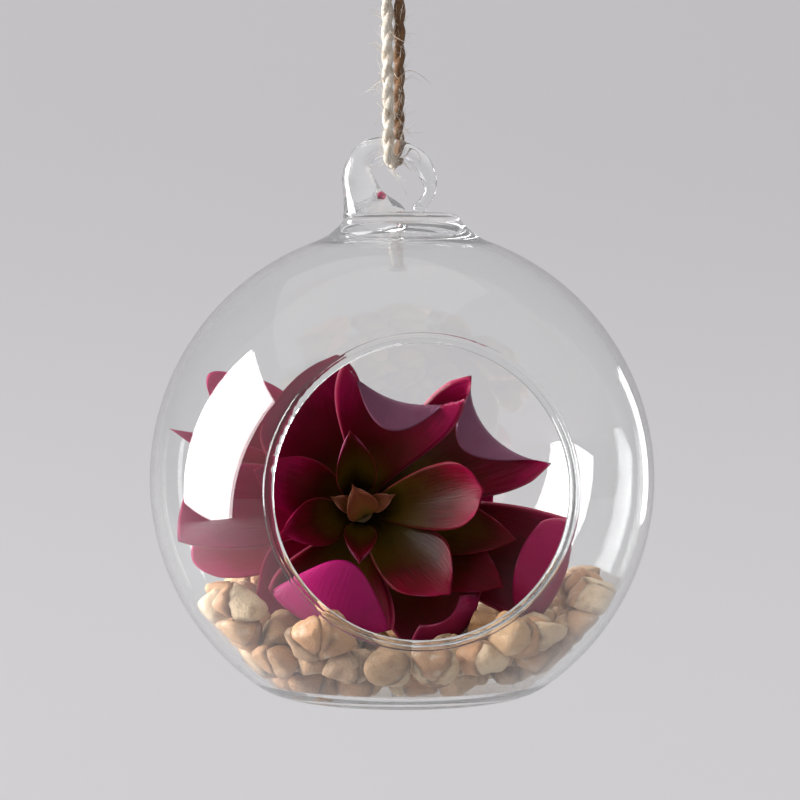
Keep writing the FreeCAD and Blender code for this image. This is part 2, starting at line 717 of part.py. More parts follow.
# Corners nearer than the merging distance become one, so no edge is a sliver
def stone_solid(faces):
    for merge in [size("pebble_gap") / share for share in (1, 2, 6)]:
        points, triangles = [], []
        for face in faces:
            ring = []
            for corner in face:
                near = [i for i, p in enumerate(points) if corner.distanceToPoint(p) < merge]
                if not near:
                    points.append(corner)
                index = near[0] if near else len(points) - 1
                if index not in ring:
                    ring.append(index)
            if len(ring) > 2:
                triangles += best_fan(points, ring)
        solid = flat_solid(points, triangles)
        if solid.isValid() and solid.isClosed():
            return solid
    return None


# The ring's triangles from the corner that leaves the smallest of them largest
def best_fan(points, ring):
    fans = []
    for start in range(len(ring)):
        turned = ring[start:] + ring[:start]
        fan = [(turned[0], b, c) for b, c in zip(turned[1:], turned[2:])]
        areas = [
            (points[b] - points[a]).cross(points[c] - points[a]).Length for a, b, c in fan
        ]
        fans.append((min(areas), fan))
    return max(fans)[1]


def block_faces(middle, half):
    faces = []
    for axis in range(3):
        for side in (-1, 1):
            first, second = (axis + 1) % 3, (axis + 2) % 3
            ring = []
            for a, b in ((-1, -1), (1, -1), (1, 1), (-1, 1)):
                offset = [0, 0, 0]
                offset[axis] = side * half
                offset[first], offset[second] = a * half, b * half
                ring.append(middle + Vector(*offset))
            faces.append(ring if side > 0 else ring[::-1])
    return faces


def bed_surface(x):
    side = size("globe_radius") - size("base_corner")
    return size("bed_height") + size("bed_rise") * min(1, abs(x) / side) ** 2


# Where the stones lie: staggered layers, shaken a little, below the surface of the bed
def stone_places(chance):
    pitch, floor = size("pebble_pitch"), size("base_floor")
    layer_pitch = size("pebble_layer")
    centre = Vector(0, 0, size("centre_height"))
    room = size("globe_radius") - size("wall") - 0.42 * layer_pitch
    spots = range(-round(room / pitch) - 1, round(room / pitch) + 2)
    places = []
    for layer in range(round((size("bed_depth") + size("bed_rise")) / layer_pitch)):
        for i in spots:
            for j in spots:
                shift = 0.5 * (layer % 2)
                place = Vector(i + shift + 0.5 * (j % 2), 0.88 * (j + 0.66 * shift), 0) * pitch
                place += Vector(*[chance.uniform(-0.22, 0.22) * pitch for _ in range(2)], 0)
                place.z = floor + (layer + 0.45 + chance.uniform(-0.15, 0.3)) * layer_pitch
                if place.distanceToPoint(centre) < room and place.z < bed_surface(place.x):
                    places.append(place)
    return places


# Planes that touch a flattened ellipsoid, spread evenly round it; the stone lies nearly flat
def stone_planes(chance, place, count=10):
    pitch, layer = size("pebble_pitch"), size("pebble_layer")
    halves = [
        pitch * chance.uniform(0.52, 0.72),
        pitch * chance.uniform(0.42, 0.56),
        layer * chance.uniform(0.5, 0.72),
    ]
    turn = Rotation(chance.uniform(0, 360), chance.uniform(-28, 28), chance.uniform(-28, 28))
    planes = []
    for index in range(count):
        z = 1 - (2 * index + 1) / count
        angle = 2.39996 * index + chance.uniform(-0.3, 0.3)
        ring = math.sqrt(1 - z * z)
        way = Vector(ring * math.cos(angle), ring * math.sin(angle), z)
        spread = Vector(*[w / h for w, h in zip(way, halves)]).normalize()
        reach = math.sqrt(sum((h * w) ** 2 for h, w in zip(halves, spread)))
        normal = turn.multVec(spread)
        planes.append((normal, normal.dot(place) + reach))
    return planes


# Planes that keep a stone off the glass: the floor, and the ball and the rounding below it, which
# are touched in a few places round the stone
def glass_planes(place):
    gap, floor = size("glass_gap"), size("base_floor")
    inner = size("globe_radius") - size("wall")
    corner = size("base_corner") - size("wall")
    centre = Vector(0, 0, size("centre_height"))
    ring = math.sqrt((inner - corner) ** 2 - (centre.z - floor - corner) ** 2)
    planes = [(Vector(0, 0, -1), -floor - gap)]
    round_it = math.degrees(math.atan2(place.y, place.x))
    away = place - centre
    slope = math.degrees(math.atan2(away.z, math.hypot(away.x, away.y)))
    low = math.degrees(math.atan2(floor + corner - centre.z, ring))
    for side in (-9, 0, 9):
        heading = Rotation(Vector(0, 0, 1), round_it + side)
        for angle in (slope - 7, slope, slope + 7):
            if angle > low:
                normal = heading * (Rotation(Vector(0, 1, 0), -angle) * Vector(1, 0, 0))
                planes.append((normal, normal.dot(centre) + inner - gap))
        hub = heading * Vector(ring, 0, 0) + Vector(0, 0, floor + corner)
        for angle in (-75, -58, -41):
            normal = heading * (Rotation(Vector(0, 1, 0), -angle) * Vector(1, 0, 0))
            planes.append((normal, normal.dot(hub) + corner - gap))
    return planes


def stem_planes(place):
    back = size("rosette_y") - size("stem_tip") + size("stem_length") + size("stem_bend")
    across = Vector(size("rosette_x") - place.x, back - place.y, 0)
    if across.Length > 2 * size("pebble_pitch"):
        return []
    reach = across.Length - size("stem_radius") - size("pebble_gap")
    across.normalize()
    return [(across, across.dot(place) + reach)]


def build_pebbles():
    chance = random.Random(14)
    places = stone_places(chance)
    pitch, gap = size("pebble_pitch"), size("pebble_gap")
    flatness = pitch / size("pebble_layer")
    weights = [chance.uniform(-0.15, 0.15) * pitch**2 for _ in places]
    leaf_points = []
    for leaf in LEAVES:
        for row in leaf_grid(leaf, rows=31, columns=17, steps=2):
            leaf_points += [p for p in row if p.z < size("bed_height") + 2 * pitch]
    clear = size("leaf_thickness") / 2 + gap
    stones = []
    for index, place in enumerate(places):
        planes = stone_planes(chance, place) + glass_planes(place) + stem_planes(place)
        for other, away in enumerate(places):
            apart = away - place
            if other == index or apart.Length > 2.2 * pitch:
                continue
            # a stone meets its neighbours above and below nearer than those beside it
            normal = Vector(apart.x, apart.y, apart.z * flatness**2)
            share = (normal.dot(apart) + weights[index] - weights[other]) / 2
            share /= normal.Length
            normal.normalize()
            planes.append((normal, normal.dot(place) + share - gap / 2))
        for point in leaf_points:
            span = point.distanceToPoint(place)
            if gap < span < pitch:
                normal = (point - place) * (1 / span)
                planes.append((normal, normal.dot(place) + span - clear))
        faces = block_faces(place, pitch)
        for normal, distance in planes:
            faces = cut_stone(faces, normal, distance)
        if len(faces) < 4:
            continue
        stone = stone_solid(faces)
        if stone and stone.Volume > 0.12 * pitch**2 * size("pebble_layer"):
            stones.append(stone)
    volumes = sorted(stone.Volume for stone in stones)
    print(f"{len(stones)} pebbles of {volumes[0]:.0f} to {volumes[-1]:.0f} mm3")
    pebbles = doc.addObject("Part::Feature", "pebbles")
    pebbles.Shape = Part.makeCompound(stones)
    pebbles.Label = "pebbles"
    return pebbles


for leaf in LEAVES:
    for part, value in (("length", leaf.length), ("width", leaf.width)):
        row += 1
        sheet.set(f"A{row}", f"{part} of {leaf.name}")
        sheet.set(f"B{row}", f"={value} * plant_unit")
        sheet.setAlias(f"B{row}", f"{leaf.name}_{part}")
doc.recompute()

parts = [build_globe(), build_twine(), build_knot(), build_stem(), *build_leaves(), build_pebbles()]

doc.recompute()
for item in doc.Objects:
    if "Invalid" in item.State or "Error" in item.State:
        raise RuntimeError(f"{item.Label} failed: {item.State}")
os.makedirs("parts", exist_ok=True)
for item in parts:
    shape = item.Shape
    if shape.isNull() or not shape.isValid():
        raise RuntimeError(f"{item.Label} is not a valid shape")
    print(f"{item.Label}: {len(shape.Solids)} solids, {len(shape.Faces)} faces, {shape.Volume:.0f} mm3")
    shape.exportStep(f"parts/{item.Label}.step")
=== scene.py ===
"""Dresses a hanging globe terrarium: clear blown glass, jute twine, a crimson succulent and pebbles.

Everything is in metres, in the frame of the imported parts: the origin is the middle of the globe's
flat base, +Z is up and the mouth faces -Y.
"""

from __future__ import annotations

import logging
import math
import random
from dataclasses import dataclass, field
from enum import Enum

import bmesh
import bpy
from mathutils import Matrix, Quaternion, Vector, kdtree, noise

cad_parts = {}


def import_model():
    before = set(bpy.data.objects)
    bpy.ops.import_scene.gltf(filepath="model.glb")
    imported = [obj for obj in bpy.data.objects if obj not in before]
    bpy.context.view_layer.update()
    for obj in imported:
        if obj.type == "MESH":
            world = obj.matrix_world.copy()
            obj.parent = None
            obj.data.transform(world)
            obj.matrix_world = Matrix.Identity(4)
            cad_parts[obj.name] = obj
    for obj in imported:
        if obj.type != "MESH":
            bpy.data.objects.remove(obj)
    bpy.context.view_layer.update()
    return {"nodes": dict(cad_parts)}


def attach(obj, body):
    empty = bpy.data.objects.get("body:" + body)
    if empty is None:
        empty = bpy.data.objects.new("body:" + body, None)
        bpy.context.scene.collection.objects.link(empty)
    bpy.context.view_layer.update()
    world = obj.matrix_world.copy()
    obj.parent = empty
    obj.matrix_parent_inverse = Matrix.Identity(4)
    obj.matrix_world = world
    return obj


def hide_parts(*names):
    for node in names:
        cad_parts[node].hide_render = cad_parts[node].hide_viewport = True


LOG = logging.getLogger("terrarium")
MM = 0.001
FLOOR_HEIGHT = -0.16
TINY = 1e-9
Colour = tuple[float, float, float]
Frame = tuple[Vector, Vector, Vector, float]
Inputs = dict[str | int, object]
Socket = bpy.types.NodeSocket


def linear(red: float, green: float, blue: float) -> Colour:
    """Turns a colour as a screen shows it into the linear one that shaders take.

    Args:
        red: red from 0 to 255.
        green: green from 0 to 255.
        blue: blue from 0 to 255.

    Returns:
        The linear colour, each part from 0 to 1.
    """
    parts = []
    for value in (red, green, blue):
        share = value / 255
        parts.append(share / 12.92 if share <= 0.04045 else ((share + 0.055) / 1.055) ** 2.4)
    return tuple(parts)


def smooth(share: float) -> float:
    """Eases a share from 0 to 1, flat at both ends."""
    share = min(max(share, 0.0), 1.0)
    return share * share * (3 - 2 * share)


# Materials


class ShaderTree:
    """A new material and short ways to add nodes to it."""

    # A Mix node has sockets of the same names for numbers and colours, so its colour ones go by number.
    MIX_INPUTS = (0, 6, 7)
    MIX_OUTPUT = 2

    def __init__(self, name: str) -> None:
        """Starts an empty material.

        Args:
            name: the material's name.
        """
        self.material = bpy.data.materials.new(name)
        self.material.use_nodes = True
        self.nodes = self.material.node_tree.nodes
        self.nodes.clear()
        self.output = self.nodes.new("ShaderNodeOutputMaterial")

    def add(self, kind: str, inputs: Inputs | None = None, **settings: str) -> bpy.types.Node:
        """Adds a node.

        Args:
            kind: the node's type without its ShaderNode prefix.
            inputs: values or sockets for its inputs, by name or number.
            settings: the node's own settings.

        Returns:
            The new node.
        """
        made = self.nodes.new(f"ShaderNode{kind}")
        for key, value in settings.items():
            setattr(made, key, value)
        for key, value in (inputs or {}).items():
            if isinstance(value, Socket):
                self.material.node_tree.links.new(value, made.inputs[key])
            elif isinstance(value, tuple) and len(value) == 3 and made.inputs[key].type == "RGBA":
                made.inputs[key].default_value = (*value, 1.0)
            else:
                made.inputs[key].default_value = value
        return made

    def finish(self, shader: bpy.types.Node) -> bpy.types.Material:
        """Joins a shader's node to the output.

        Args:
            shader: the shader's node.

        Returns:
            The finished material.
        """
        self.material.node_tree.links.new(shader.outputs[0], self.output.inputs["Surface"])
        return self.material

    def surface(self, inputs: Inputs) -> bpy.types.Material:
        """Finishes the material with a principled shader that has these inputs."""
        return self.finish(self.add("BsdfPrincipled", inputs))

    def mixture(
        self, share: Socket, first: bpy.types.Node, second: bpy.types.Node
    ) -> bpy.types.Material:
        """Finishes the material with a mix of two shaders.

        Args:
            share: how much of the second one shows, from 0 to 1.
            first: a shader's node.
            second: a shader's node.

        Returns:
            The finished material.
        """
        inputs = {0: share, 1: first.outputs[0], 2: second.outputs[0]}
        return self.finish(self.add("MixShader", inputs))

    def place(self) -> Socket:
        """Gives the place in the object's own frame, which doesn't slide in any view."""
        return self.add("TexCoord").outputs["Object"]

    def attribute(self, name: str) -> Socket:
        """Reads a number stored on the mesh's points."""
        return self.add("Attribute", attribute_name=name).outputs["Fac"]

    def noise(self, scale: float, detail: float = 3.0, where: Socket | None = None) -> Socket:
        """Adds a noise texture.

        Args:
            scale: how many patches there are in a metre.
            detail: how many finer layers it has.
            where: the socket of the place it is read at, or None for the object's frame.

        Returns:
            The noise, from 0 to 1.
        """
        inputs = {"Vector": where or self.place(), "Scale": scale, "Detail": detail}
        return self.add("TexNoise", inputs).outputs["Fac"]

    def spot(self, across: Socket, along: Socket, over: float) -> Socket:
        """Joins three numbers into a place that a texture is read at."""
        return self.add("CombineXYZ", {0: across, 1: along, 2: over}).outputs[0]

    def math(self, kind: str, first: Socket, second: Socket | float = 0.0) -> Socket:
        """Adds a sum, product or other step on two numbers."""
        return self.add("Math", {0: first, 1: second}, operation=kind).outputs[0]

    def times(self, first: Socket, second: Socket | float) -> Socket:
        """Multiplies two numbers."""
        return self.math("MULTIPLY", first, second)

    def plus(self, first: Socket, second: Socket) -> Socket:
        """Adds two numbers."""
        return self.math("ADD", first, second)

    def sway(self, value: Socket, texture: Socket, reach: float) -> Socket:
        """Shifts a number both ways by a texture, half the reach at most."""
        return self.plus(value, self.times(self.math("SUBTRACT", texture, 0.5), reach))

    def spread(self, value: Socket, low: float, high: float) -> Socket:
        """Maps low to 0 and high to 1, eased and clamped."""
        inputs = {"Value": value, "From Min": low, "From Max": high}
        return self.add("MapRange", inputs, interpolation_type="SMOOTHSTEP").outputs["Result"]

    def blend(self, share: Socket, first: Socket | Colour, second: Socket | Colour) -> Socket:
        """Mixes two colours.

        Args:
            share: how much of the second colour shows, from 0 to 1.
            first: a colour or its socket.
            second: a colour or its socket.

        Returns:
            The mixed colour.
        """
        inputs = dict(zip(self.MIX_INPUTS, (share, first, second)))
        return self.add("Mix", inputs, data_type="RGBA").outputs[self.MIX_OUTPUT]

    def ramp(self, share: Socket, stops: list[tuple[float, Colour]]) -> Socket:
        """Adds a colour ramp.

        Args:
            share: the socket that runs along the ramp.
            stops: places from 0 to 1 and their colours.

        Returns:
            The colour.
        """
        made = self.add("ValToRGB", {"Fac": share})
        ramp = made.color_ramp
        while len(ramp.elements) < len(stops):
            ramp.elements.new(0.5)
        for element, (position, colour) in zip(ramp.elements, stops):
            element.position = position
            element.color = (*colour, 1.0)
        return made.outputs["Color"]

    def bump(self, height: Socket, depth: float, strength: float = 1.0) -> Socket:
        """Turns a height into a normal.

        Args:
            height: the height's socket, from 0 to 1.
            depth: metres from the lowest to the highest.
            strength: share of the effect.

        Returns:
            The normal.
        """
        inputs = {"Height": height, "Distance": depth, "Strength": strength}
        return self.add("Bump", inputs).outputs["Normal"]


@dataclass(frozen=True)
class BlownGlass:
    """Clear glass with real walls, which a ray passes straight through after a few bounces."""

    tint: Colour = (0.985, 0.992, 0.99)
    index: float = 1.46
    coat: float = 0.3
    coat_index: float = 1.55
    bounces: float = 5.5
    name: str = "blown_glass"

    def material(self) -> bpy.types.Material:
        """Makes the glass, which lets lamp light through to what stands inside.

        Returns:
            The material.
        """
        tree = ShaderTree(self.name)
        glass = tree.add(
            "BsdfPrincipled",
            {
                "Base Color": self.tint,
                "Roughness": 0.0,
                "IOR": self.index,
                "Transmission Weight": 1.0,
                "Coat Weight": self.coat,
                "Coat Roughness": 0.0,
                "Coat IOR": self.coat_index,
            },
        )
        clear = tree.add("BsdfTransparent", {"Color": self.tint})
        path = tree.add("LightPath")
        deep = tree.math("GREATER_THAN", path.outputs["Ray Depth"], self.bounces)
        share = tree.math("MAXIMUM", path.outputs["Is Shadow Ray"], deep)
        return tree.mixture(share, glass, clear)


@dataclass(frozen=True)
class JuteFibre:
    """Undyed jute: brown plies with paler dry fibres, the loop's back leg darkened with painted shade.
    """

    dark: Colour = linear(176, 146, 112)
    pale: Colour = linear(252, 244, 230)
    shaded_fibre: Colour = linear(150, 108, 70)
    shadow: Colour = linear(82, 56, 36)
    stretch: float = 0.35
    streak_share: float = 0.7
    patch_share: float = 0.5
    name: str = "jute"

    def material(self) -> bpy.types.Material:
        """Makes fibres that run along each ply, from the mesh's own along and around values.

        Returns:
            The material.
        """
        tree = ShaderTree(self.name)
        along = tree.times(tree.attribute("along"), self.stretch)
        where = tree.spot(along, tree.attribute("around"), 0.0)
        streaks = tree.noise(scale=26.0, detail=4.0, where=where)
        patches = tree.noise(scale=420.0)
        share = tree.plus(tree.times(streaks, self.streak_share), tree.times(patches, self.patch_share))
        colour = tree.blend(tree.spread(share, low=0.34, high=0.72), self.dark, self.pale)
        # painted shade: the darker browns that the loop's back leg takes where the tone value is 0, as
        # if in shadow
        brown = tree.blend(tree.spread(share, low=0.3, high=0.8), self.shadow, self.shaded_fibre)
        return tree.surface(
            {
                "Base Color": tree.blend(tree.attribute("tone"), brown, colour),
                "Roughness": 0.88,
                "Sheen Weight": 0.25,
                "Normal": tree.bump(streaks, depth=0.00022),
            }
        )


@dataclass(frozen=True)
class WaxyLeaf:
    """A succulent's leaf: olive foot, crimson end, pale margin and a mauve underside.

    Attributes:
        name: the material's name.
        deep: painted shade on the face where it leaves the stem, deep in the rosette where the leaves
            shade each other.
        foot: its colour at olive_from.
        middle: its colour at olive_until.
        end: its colour at crimson_from.
        tip: its colour at the end.
        margin: the colour of the leaf's edge.
        under: the underside of a leaf that isn't flushed.
        rose: the underside of a half flushed leaf.
        flushed: the underside of a fully flushed leaf.
        under_foot: the underside near the stem.
        olive_from, olive_until, crimson_from: places along the leaf, from 0 to 1.
        edge_reach: how much sooner the margin turns crimson.
        edge_power: how close to the margin that keeps, as an exponent.
        cloud_reach: how far soft patches move the colours along.
        vein_reach: how far the streaks move them.
        vein_stretch: how close together the streaks are across the leaf and along it.
        vein_seed: which part of the noise the streaks are taken from.
        relief: height of the streaks and of the patches in the bump.
        dullness: how far the patches darken the underside.
        rim_share: how much of the margin's colour shows.
        gloss: the specular level.
    """

    name: str
    deep: Colour = linear(30, 18, 4)
    foot: Colour = linear(70, 50, 5)
    middle: Colour = linear(70, 15, 7)
    end: Colour = linear(100, 0, 30)
    tip: Colour = linear(142, 4, 62)
    margin: Colour = linear(196, 76, 108)
    under: Colour = linear(118, 70, 94)
    rose: Colour = linear(142, 16, 66)
    flushed: Colour = linear(164, 8, 98)
    under_foot: Colour = linear(100, 4, 36)
    olive_from: float = 0.22
    olive_until: float = 0.45
    crimson_from: float = 0.8
    edge_reach: float = 0.24
    edge_power: float = 3.0
    cloud_reach: float = 0.35
    vein_reach: float = 0.3
    vein_stretch: tuple[float, float] = (3.2, 0.55)
    vein_seed: float = 0.3
    relief: tuple[float, float] = (0.4, 0.6)
    dullness: float = 0.3
    rim_share: float = 0.8
    gloss: float = 0.2

    def upper(
        self, tree: ShaderTree, along: Socket, edge: Socket, cloud: Socket, veins: Socket
    ) -> Socket:
        """Colours the leaf's face.

        Args:
            tree: the material that is made.
            along: the place from the foot to the end.
            edge: the place from the middle to the margin.
            cloud: soft patches.
            veins: streaks along the leaf.

        Returns:
            The face's colour.
        """
        reach = tree.sway(along, cloud, self.cloud_reach)
        reach = tree.sway(reach, veins, self.vein_reach)
        reach = tree.math("SUBTRACT", reach, tree.attribute("olive"))
        margin = tree.math("POWER", edge, self.edge_power)
        reach = tree.plus(reach, tree.times(margin, self.edge_reach))
        stops = [
            # painted shade: the face is darkest at its foot, deep in the rosette, as if shaded by the
            # other leaves
            (0.0, self.deep),
            (self.olive_from, self.foot),
            (self.olive_until, self.middle),
            (self.crimson_from, self.end),
            (1.0, self.tip),
        ]
        return tree.ramp(reach, stops)

    def lower(self, tree: ShaderTree, along: Socket, cloud: Socket) -> Socket:
        """Colours the leaf's underside.

        Args:
            tree: the material that is made.
            along: the place from the foot to the end.
            cloud: soft patches.

        Returns:
            The underside's colour.
        """
        stops = [(0.0, self.under), (0.5, self.rose), (1.0, self.flushed)]
        colour = tree.ramp(tree.attribute("flush"), stops)
        colour = tree.blend(tree.spread(along, low=0.3, high=0.85), self.under_foot, colour)
        dull = tree.times(tree.spread(cloud, low=0.5, high=0.8), self.dullness)
        return tree.blend(dull, colour, self.under_foot)

    def material(self) -> bpy.types.Material:
        """Makes the leaf from its along, across and side values.

        Returns:
            The material.
        """
        tree = ShaderTree(self.name)
        along, across, side = (tree.attribute(n) for n in ("along", "across", "side"))
        edge = tree.math("ABSOLUTE", across)
        cloud = tree.noise(scale=170.0, detail=4.0)
        wide, long = self.vein_stretch
        where = tree.spot(tree.times(across, wide), tree.times(along, long), self.vein_seed)
        veins = tree.noise(scale=7.0, detail=4.0, where=where)
        upper = self.upper(tree, along, edge, cloud, veins)
        lower = self.lower(tree, along, cloud)
        face = tree.blend(tree.spread(side, low=-0.2, high=0.2), lower, upper)
        rim = tree.times(tree.spread(edge, low=0.95, high=0.995), self.rim_share)
        vein_height, cloud_height = self.relief
        height = tree.plus(tree.times(veins, vein_height), tree.times(cloud, cloud_height))
        return tree.surface(
            {
                "Base Color": tree.blend(rim, face, self.margin),
                "Roughness": 0.34,
                "Specular IOR Level": self.gloss,
                "Subsurface Weight": 0.06,
                "Subsurface Radius": (0.0012, 0.0003, 0.0003),
                "Subsurface Scale": 1.0,
                "Coat Weight": 0.06,
                "Coat Roughness": 0.14,
                "Normal": tree.bump(height, depth=0.0005, strength=0.5),
            }
        )


@dataclass(frozen=True)
class TumbledStone:
    """Beige, cream and ochre pebbles, each its own tint, darkened with painted shade where one stone
    meets the next.
    """

    shades: tuple[Colour, ...] = (
        linear(168, 118, 80),
        linear(214, 180, 138),
        linear(190, 140, 96),
        linear(226, 200, 164),
        linear(180, 144, 112),
        linear(204, 150, 104),
    )
    stain: Colour = linear(150, 104, 62)
    bleach: Colour = linear(236, 222, 198)
    speck: Colour = linear(110, 80, 56)
    crevice_shade: Colour = linear(96, 62, 40)
    relief: tuple[float, float] = (0.7, 0.3)
    name: str = "tumbled_stone"

    def material(self) -> bpy.types.Material:
        """Makes the stones' colours from each stone's own shade.

        Returns:
            The material.
        """
        tree = ShaderTree(self.name)
        stops = [(place / (len(self.shades) - 1), shade) for place, shade in enumerate(self.shades)]
        colour = tree.ramp(tree.attribute("shade"), stops)
        mottle = tree.noise(scale=320.0, detail=5.0)
        grain = tree.noise(scale=2600.0)
        marks = (
            (tree.spread(mottle, low=0.5, high=0.78), 0.5, self.stain),
            (tree.spread(mottle, low=0.46, high=0.22), 0.5, self.bleach),
            (tree.spread(grain, low=0.62, high=0.74), 0.35, self.speck),
            # painted shade: darkens each stone where it nears the next one, as if in the shade between
            # stones
            (tree.attribute("gap"), 0.75, self.crevice_shade),
        )
        for mark, share, paint in marks:
            colour = tree.blend(tree.times(mark, share), colour, paint)
        mottle_height, grain_height = self.relief
        height = tree.plus(tree.times(mottle, mottle_height), tree.times(grain, grain_height))
        normal = tree.bump(height, depth=0.0009, strength=0.9)
        return tree.surface({"Base Color": colour, "Roughness": 0.62, "Normal": normal})


@dataclass(frozen=True)
class StemBark:
    """The dull green-brown skin of the stem."""

    green: Colour = linear(70, 58, 26)
    brown: Colour = linear(128, 96, 58)
    name: str = "stem_bark"

    def material(self) -> bpy.types.Material:
        """Makes the stem's skin.

        Returns:
            The material.
        """
        tree = ShaderTree(self.name)
        rings = tree.noise(scale=500.0, detail=4.0)
        colour = tree.blend(rings, self.green, self.brown)
        normal = tree.bump(rings, depth=0.0005)
        return tree.surface({"Base Color": colour, "Roughness": 0.7, "Normal": normal})


@dataclass(frozen=True)
class PaleRoom:
    """Plain pale paper of the floor and the wall behind it.

    Attributes:
        colour: the paper where lamps light it.
        low: its glow at the floor.
        high: its glow at fade_to and above.
        grain: how uneven the paper is.
        fade_to: the height where the glow stops changing.
        glow: the glow's share for the camera and through glass.
        mirrored: how much of that share a reflection shows.
        name: the material's name.
    """

    colour: Colour = linear(158, 157, 158)
    low: Colour = linear(222, 220, 222)
    high: Colour = linear(206, 204, 207)
    grain: float = 0.06
    fade_to: float = 0.2
    glow: float = 0.74
    mirrored: float = 0.5
    name: str = "pale_paper"

    def material(self) -> bpy.types.Material:
        """Makes lit paper, mixed with a plain glow for the camera and for what glass shows.

        Returns:
            The material.
        """
        tree = ShaderTree(self.name)
        grain = tree.times(tree.noise(scale=40.0, detail=2.0), self.grain)
        colour = tree.blend(grain, self.colour, self.high)
        paper = tree.add("BsdfPrincipled", {"Base Color": colour, "Roughness": 0.9})
        height = tree.add("SeparateXYZ", {0: tree.place()}).outputs["Z"]
        fade = tree.blend(tree.spread(height, FLOOR_HEIGHT, self.fade_to), self.low, self.high)
        bright = tree.add("Emission", {"Color": fade})
        path = tree.add("LightPath")
        seen = tree.math("MAXIMUM", path.outputs["Is Camera Ray"], path.outputs["Is Transmission Ray"])
        reflected = tree.times(path.outputs["Is Glossy Ray"], self.mirrored)
        share = tree.times(tree.math("MAXIMUM", seen, reflected), self.glow)
        return tree.mixture(share, paper, bright)


# Pieces


def placed(name: str, data: bpy.types.ID) -> bpy.types.Object:
    """Makes an object of a mesh, curve, lamp or camera and puts it in the scene.

    Args:
        name: the object's name.
        data: what it shows.

    Returns:
        The new object.
    """
    made = bpy.data.objects.new(name, data)
    bpy.context.scene.collection.objects.link(made)
    return made


def mesh_piece(
    name: str,
    points: list[Vector],
    faces: list[tuple[int, ...]],
    material: bpy.types.Material,
    values: dict[str, list[float]] | None = None,
    part: bool = True,
) -> bpy.types.Object:
    """Makes a smooth mesh object.

    Args:
        name: the piece's name.
        points: its corners in metres.
        faces: corners of each face.
        material: its finish.
        values: numbers stored on the points, by name.
        part: whether it belongs to the part, and so rides on its one body.

    Returns:
        The new object.
    """
    mesh = bpy.data.meshes.new(name)
    mesh.from_pydata(points, [], faces)
    for key, numbers in (values or {}).items():
        mesh.attributes.new(key, "FLOAT", "POINT").data.foreach_set("value", numbers)
    mesh.polygons.foreach_set("use_smooth", [True] * len(mesh.polygons))
    mesh.materials.append(material)
    mesh.validate()
    piece = placed(name, mesh)
    if part:
        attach(piece, "root")
    return piece


def dress(piece: bpy.types.Object, material: bpy.types.Material) -> None:
    """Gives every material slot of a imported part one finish."""
    for place in piece.material_slots:
        place.material = material


@dataclass(frozen=True)
class LeafShape:
    """One leaf on the stem. Lengths are in millimetres, angles in degrees, and the rest are shares.

    Attributes:
        name: the leaf's node.
        turn: place round the stem, as an angle.
        lean: angle away from the rosette's axis.
        rise: place along the axis, as a length.
        length: length from the foot to the end.
        width: width at the widest place.
        cup: how far the margins stand up at the widest place, as a length.
        foot: width of the foot.
        widest: place of the widest width.
        end: width of the end.
        sharp: how late the leaf narrows towards its end, as an exponent.
        bend: how much the leaf bows inwards, as an angle.
        blunt: how far the end's corners fall back.
        point: a small point in the middle of the end, as a length.
        fold: angle that the end is folded by.
        fold_at: place of the fold.
        fold_run: length that the fold takes.
        ears: how much further out the fold lies at the margins, as a length.
        slant: how much further one side of the end and of the fold reaches, as a length.
        waist: how late the leaf widens from its foot, as an exponent.
        offset: distance of the foot from the axis, in stem radii.
    """

    name: str
    turn: float
    lean: float
    rise: float
    length: float
    width: float
    cup: float = 2.0
    foot: float = 0.26
    widest: float = 0.6
    end: float = 0.3
    sharp: float = 2.2
    bend: float = 10.0
    blunt: float = 0.12
    point: float = 1.2
    fold: float = 0.0
    fold_at: float = 1.2
    fold_run: float = 5.0
    ears: float = 0.0
    slant: float = 0.0
    waist: float = 1.0
    offset: float = 1.0


def broad(
    name: str, turn: float, lean: float, rise: float, length: float, width: float, **other: float
) -> LeafShape:
    """Makes a broad outer leaf with a folded end.

    Args:
        name: the leaf's node.
        turn: place round the stem.
        lean: angle away from the rosette's axis.
        rise: place along the axis.
        length: length in millimetres.
        width: width in millimetres.
        other: what differs from the usual outer leaf.

    Returns:
        The leaf's shape.
    """
    usual = {"cup": 3.0, "foot": 0.16, "widest": 0.74, "end": 0.8, "bend": 14, "blunt": 0.08}
    folded = {"point": 0, "ears": 4.0, "fold_at": 0.75, "fold": 120, "waist": 1.5}
    return LeafShape(name, turn, lean, rise, length, width, **{**usual, **folded, **other})


def bud(
    name: str, turn: float, lean: float, length: float, width: float, cup: float, offset: float
) -> LeafShape:
    """Makes a small young leaf in the middle of the rosette.

    Args:
        name: the bud's node.
        turn: place round the stem.
        lean: angle away from the rosette's axis.
        length: length in millimetres.
        width: width in millimetres.
        cup: how far its margins stand up.
        offset: distance from the axis in stem radii.

    Returns:
        The bud's shape.
    """
    rise = 3.5
    small = {"foot": 0.42, "widest": 0.5, "bend": -15}
    return LeafShape(name, turn, lean, rise, length, width, cup=cup, offset=offset, **small)


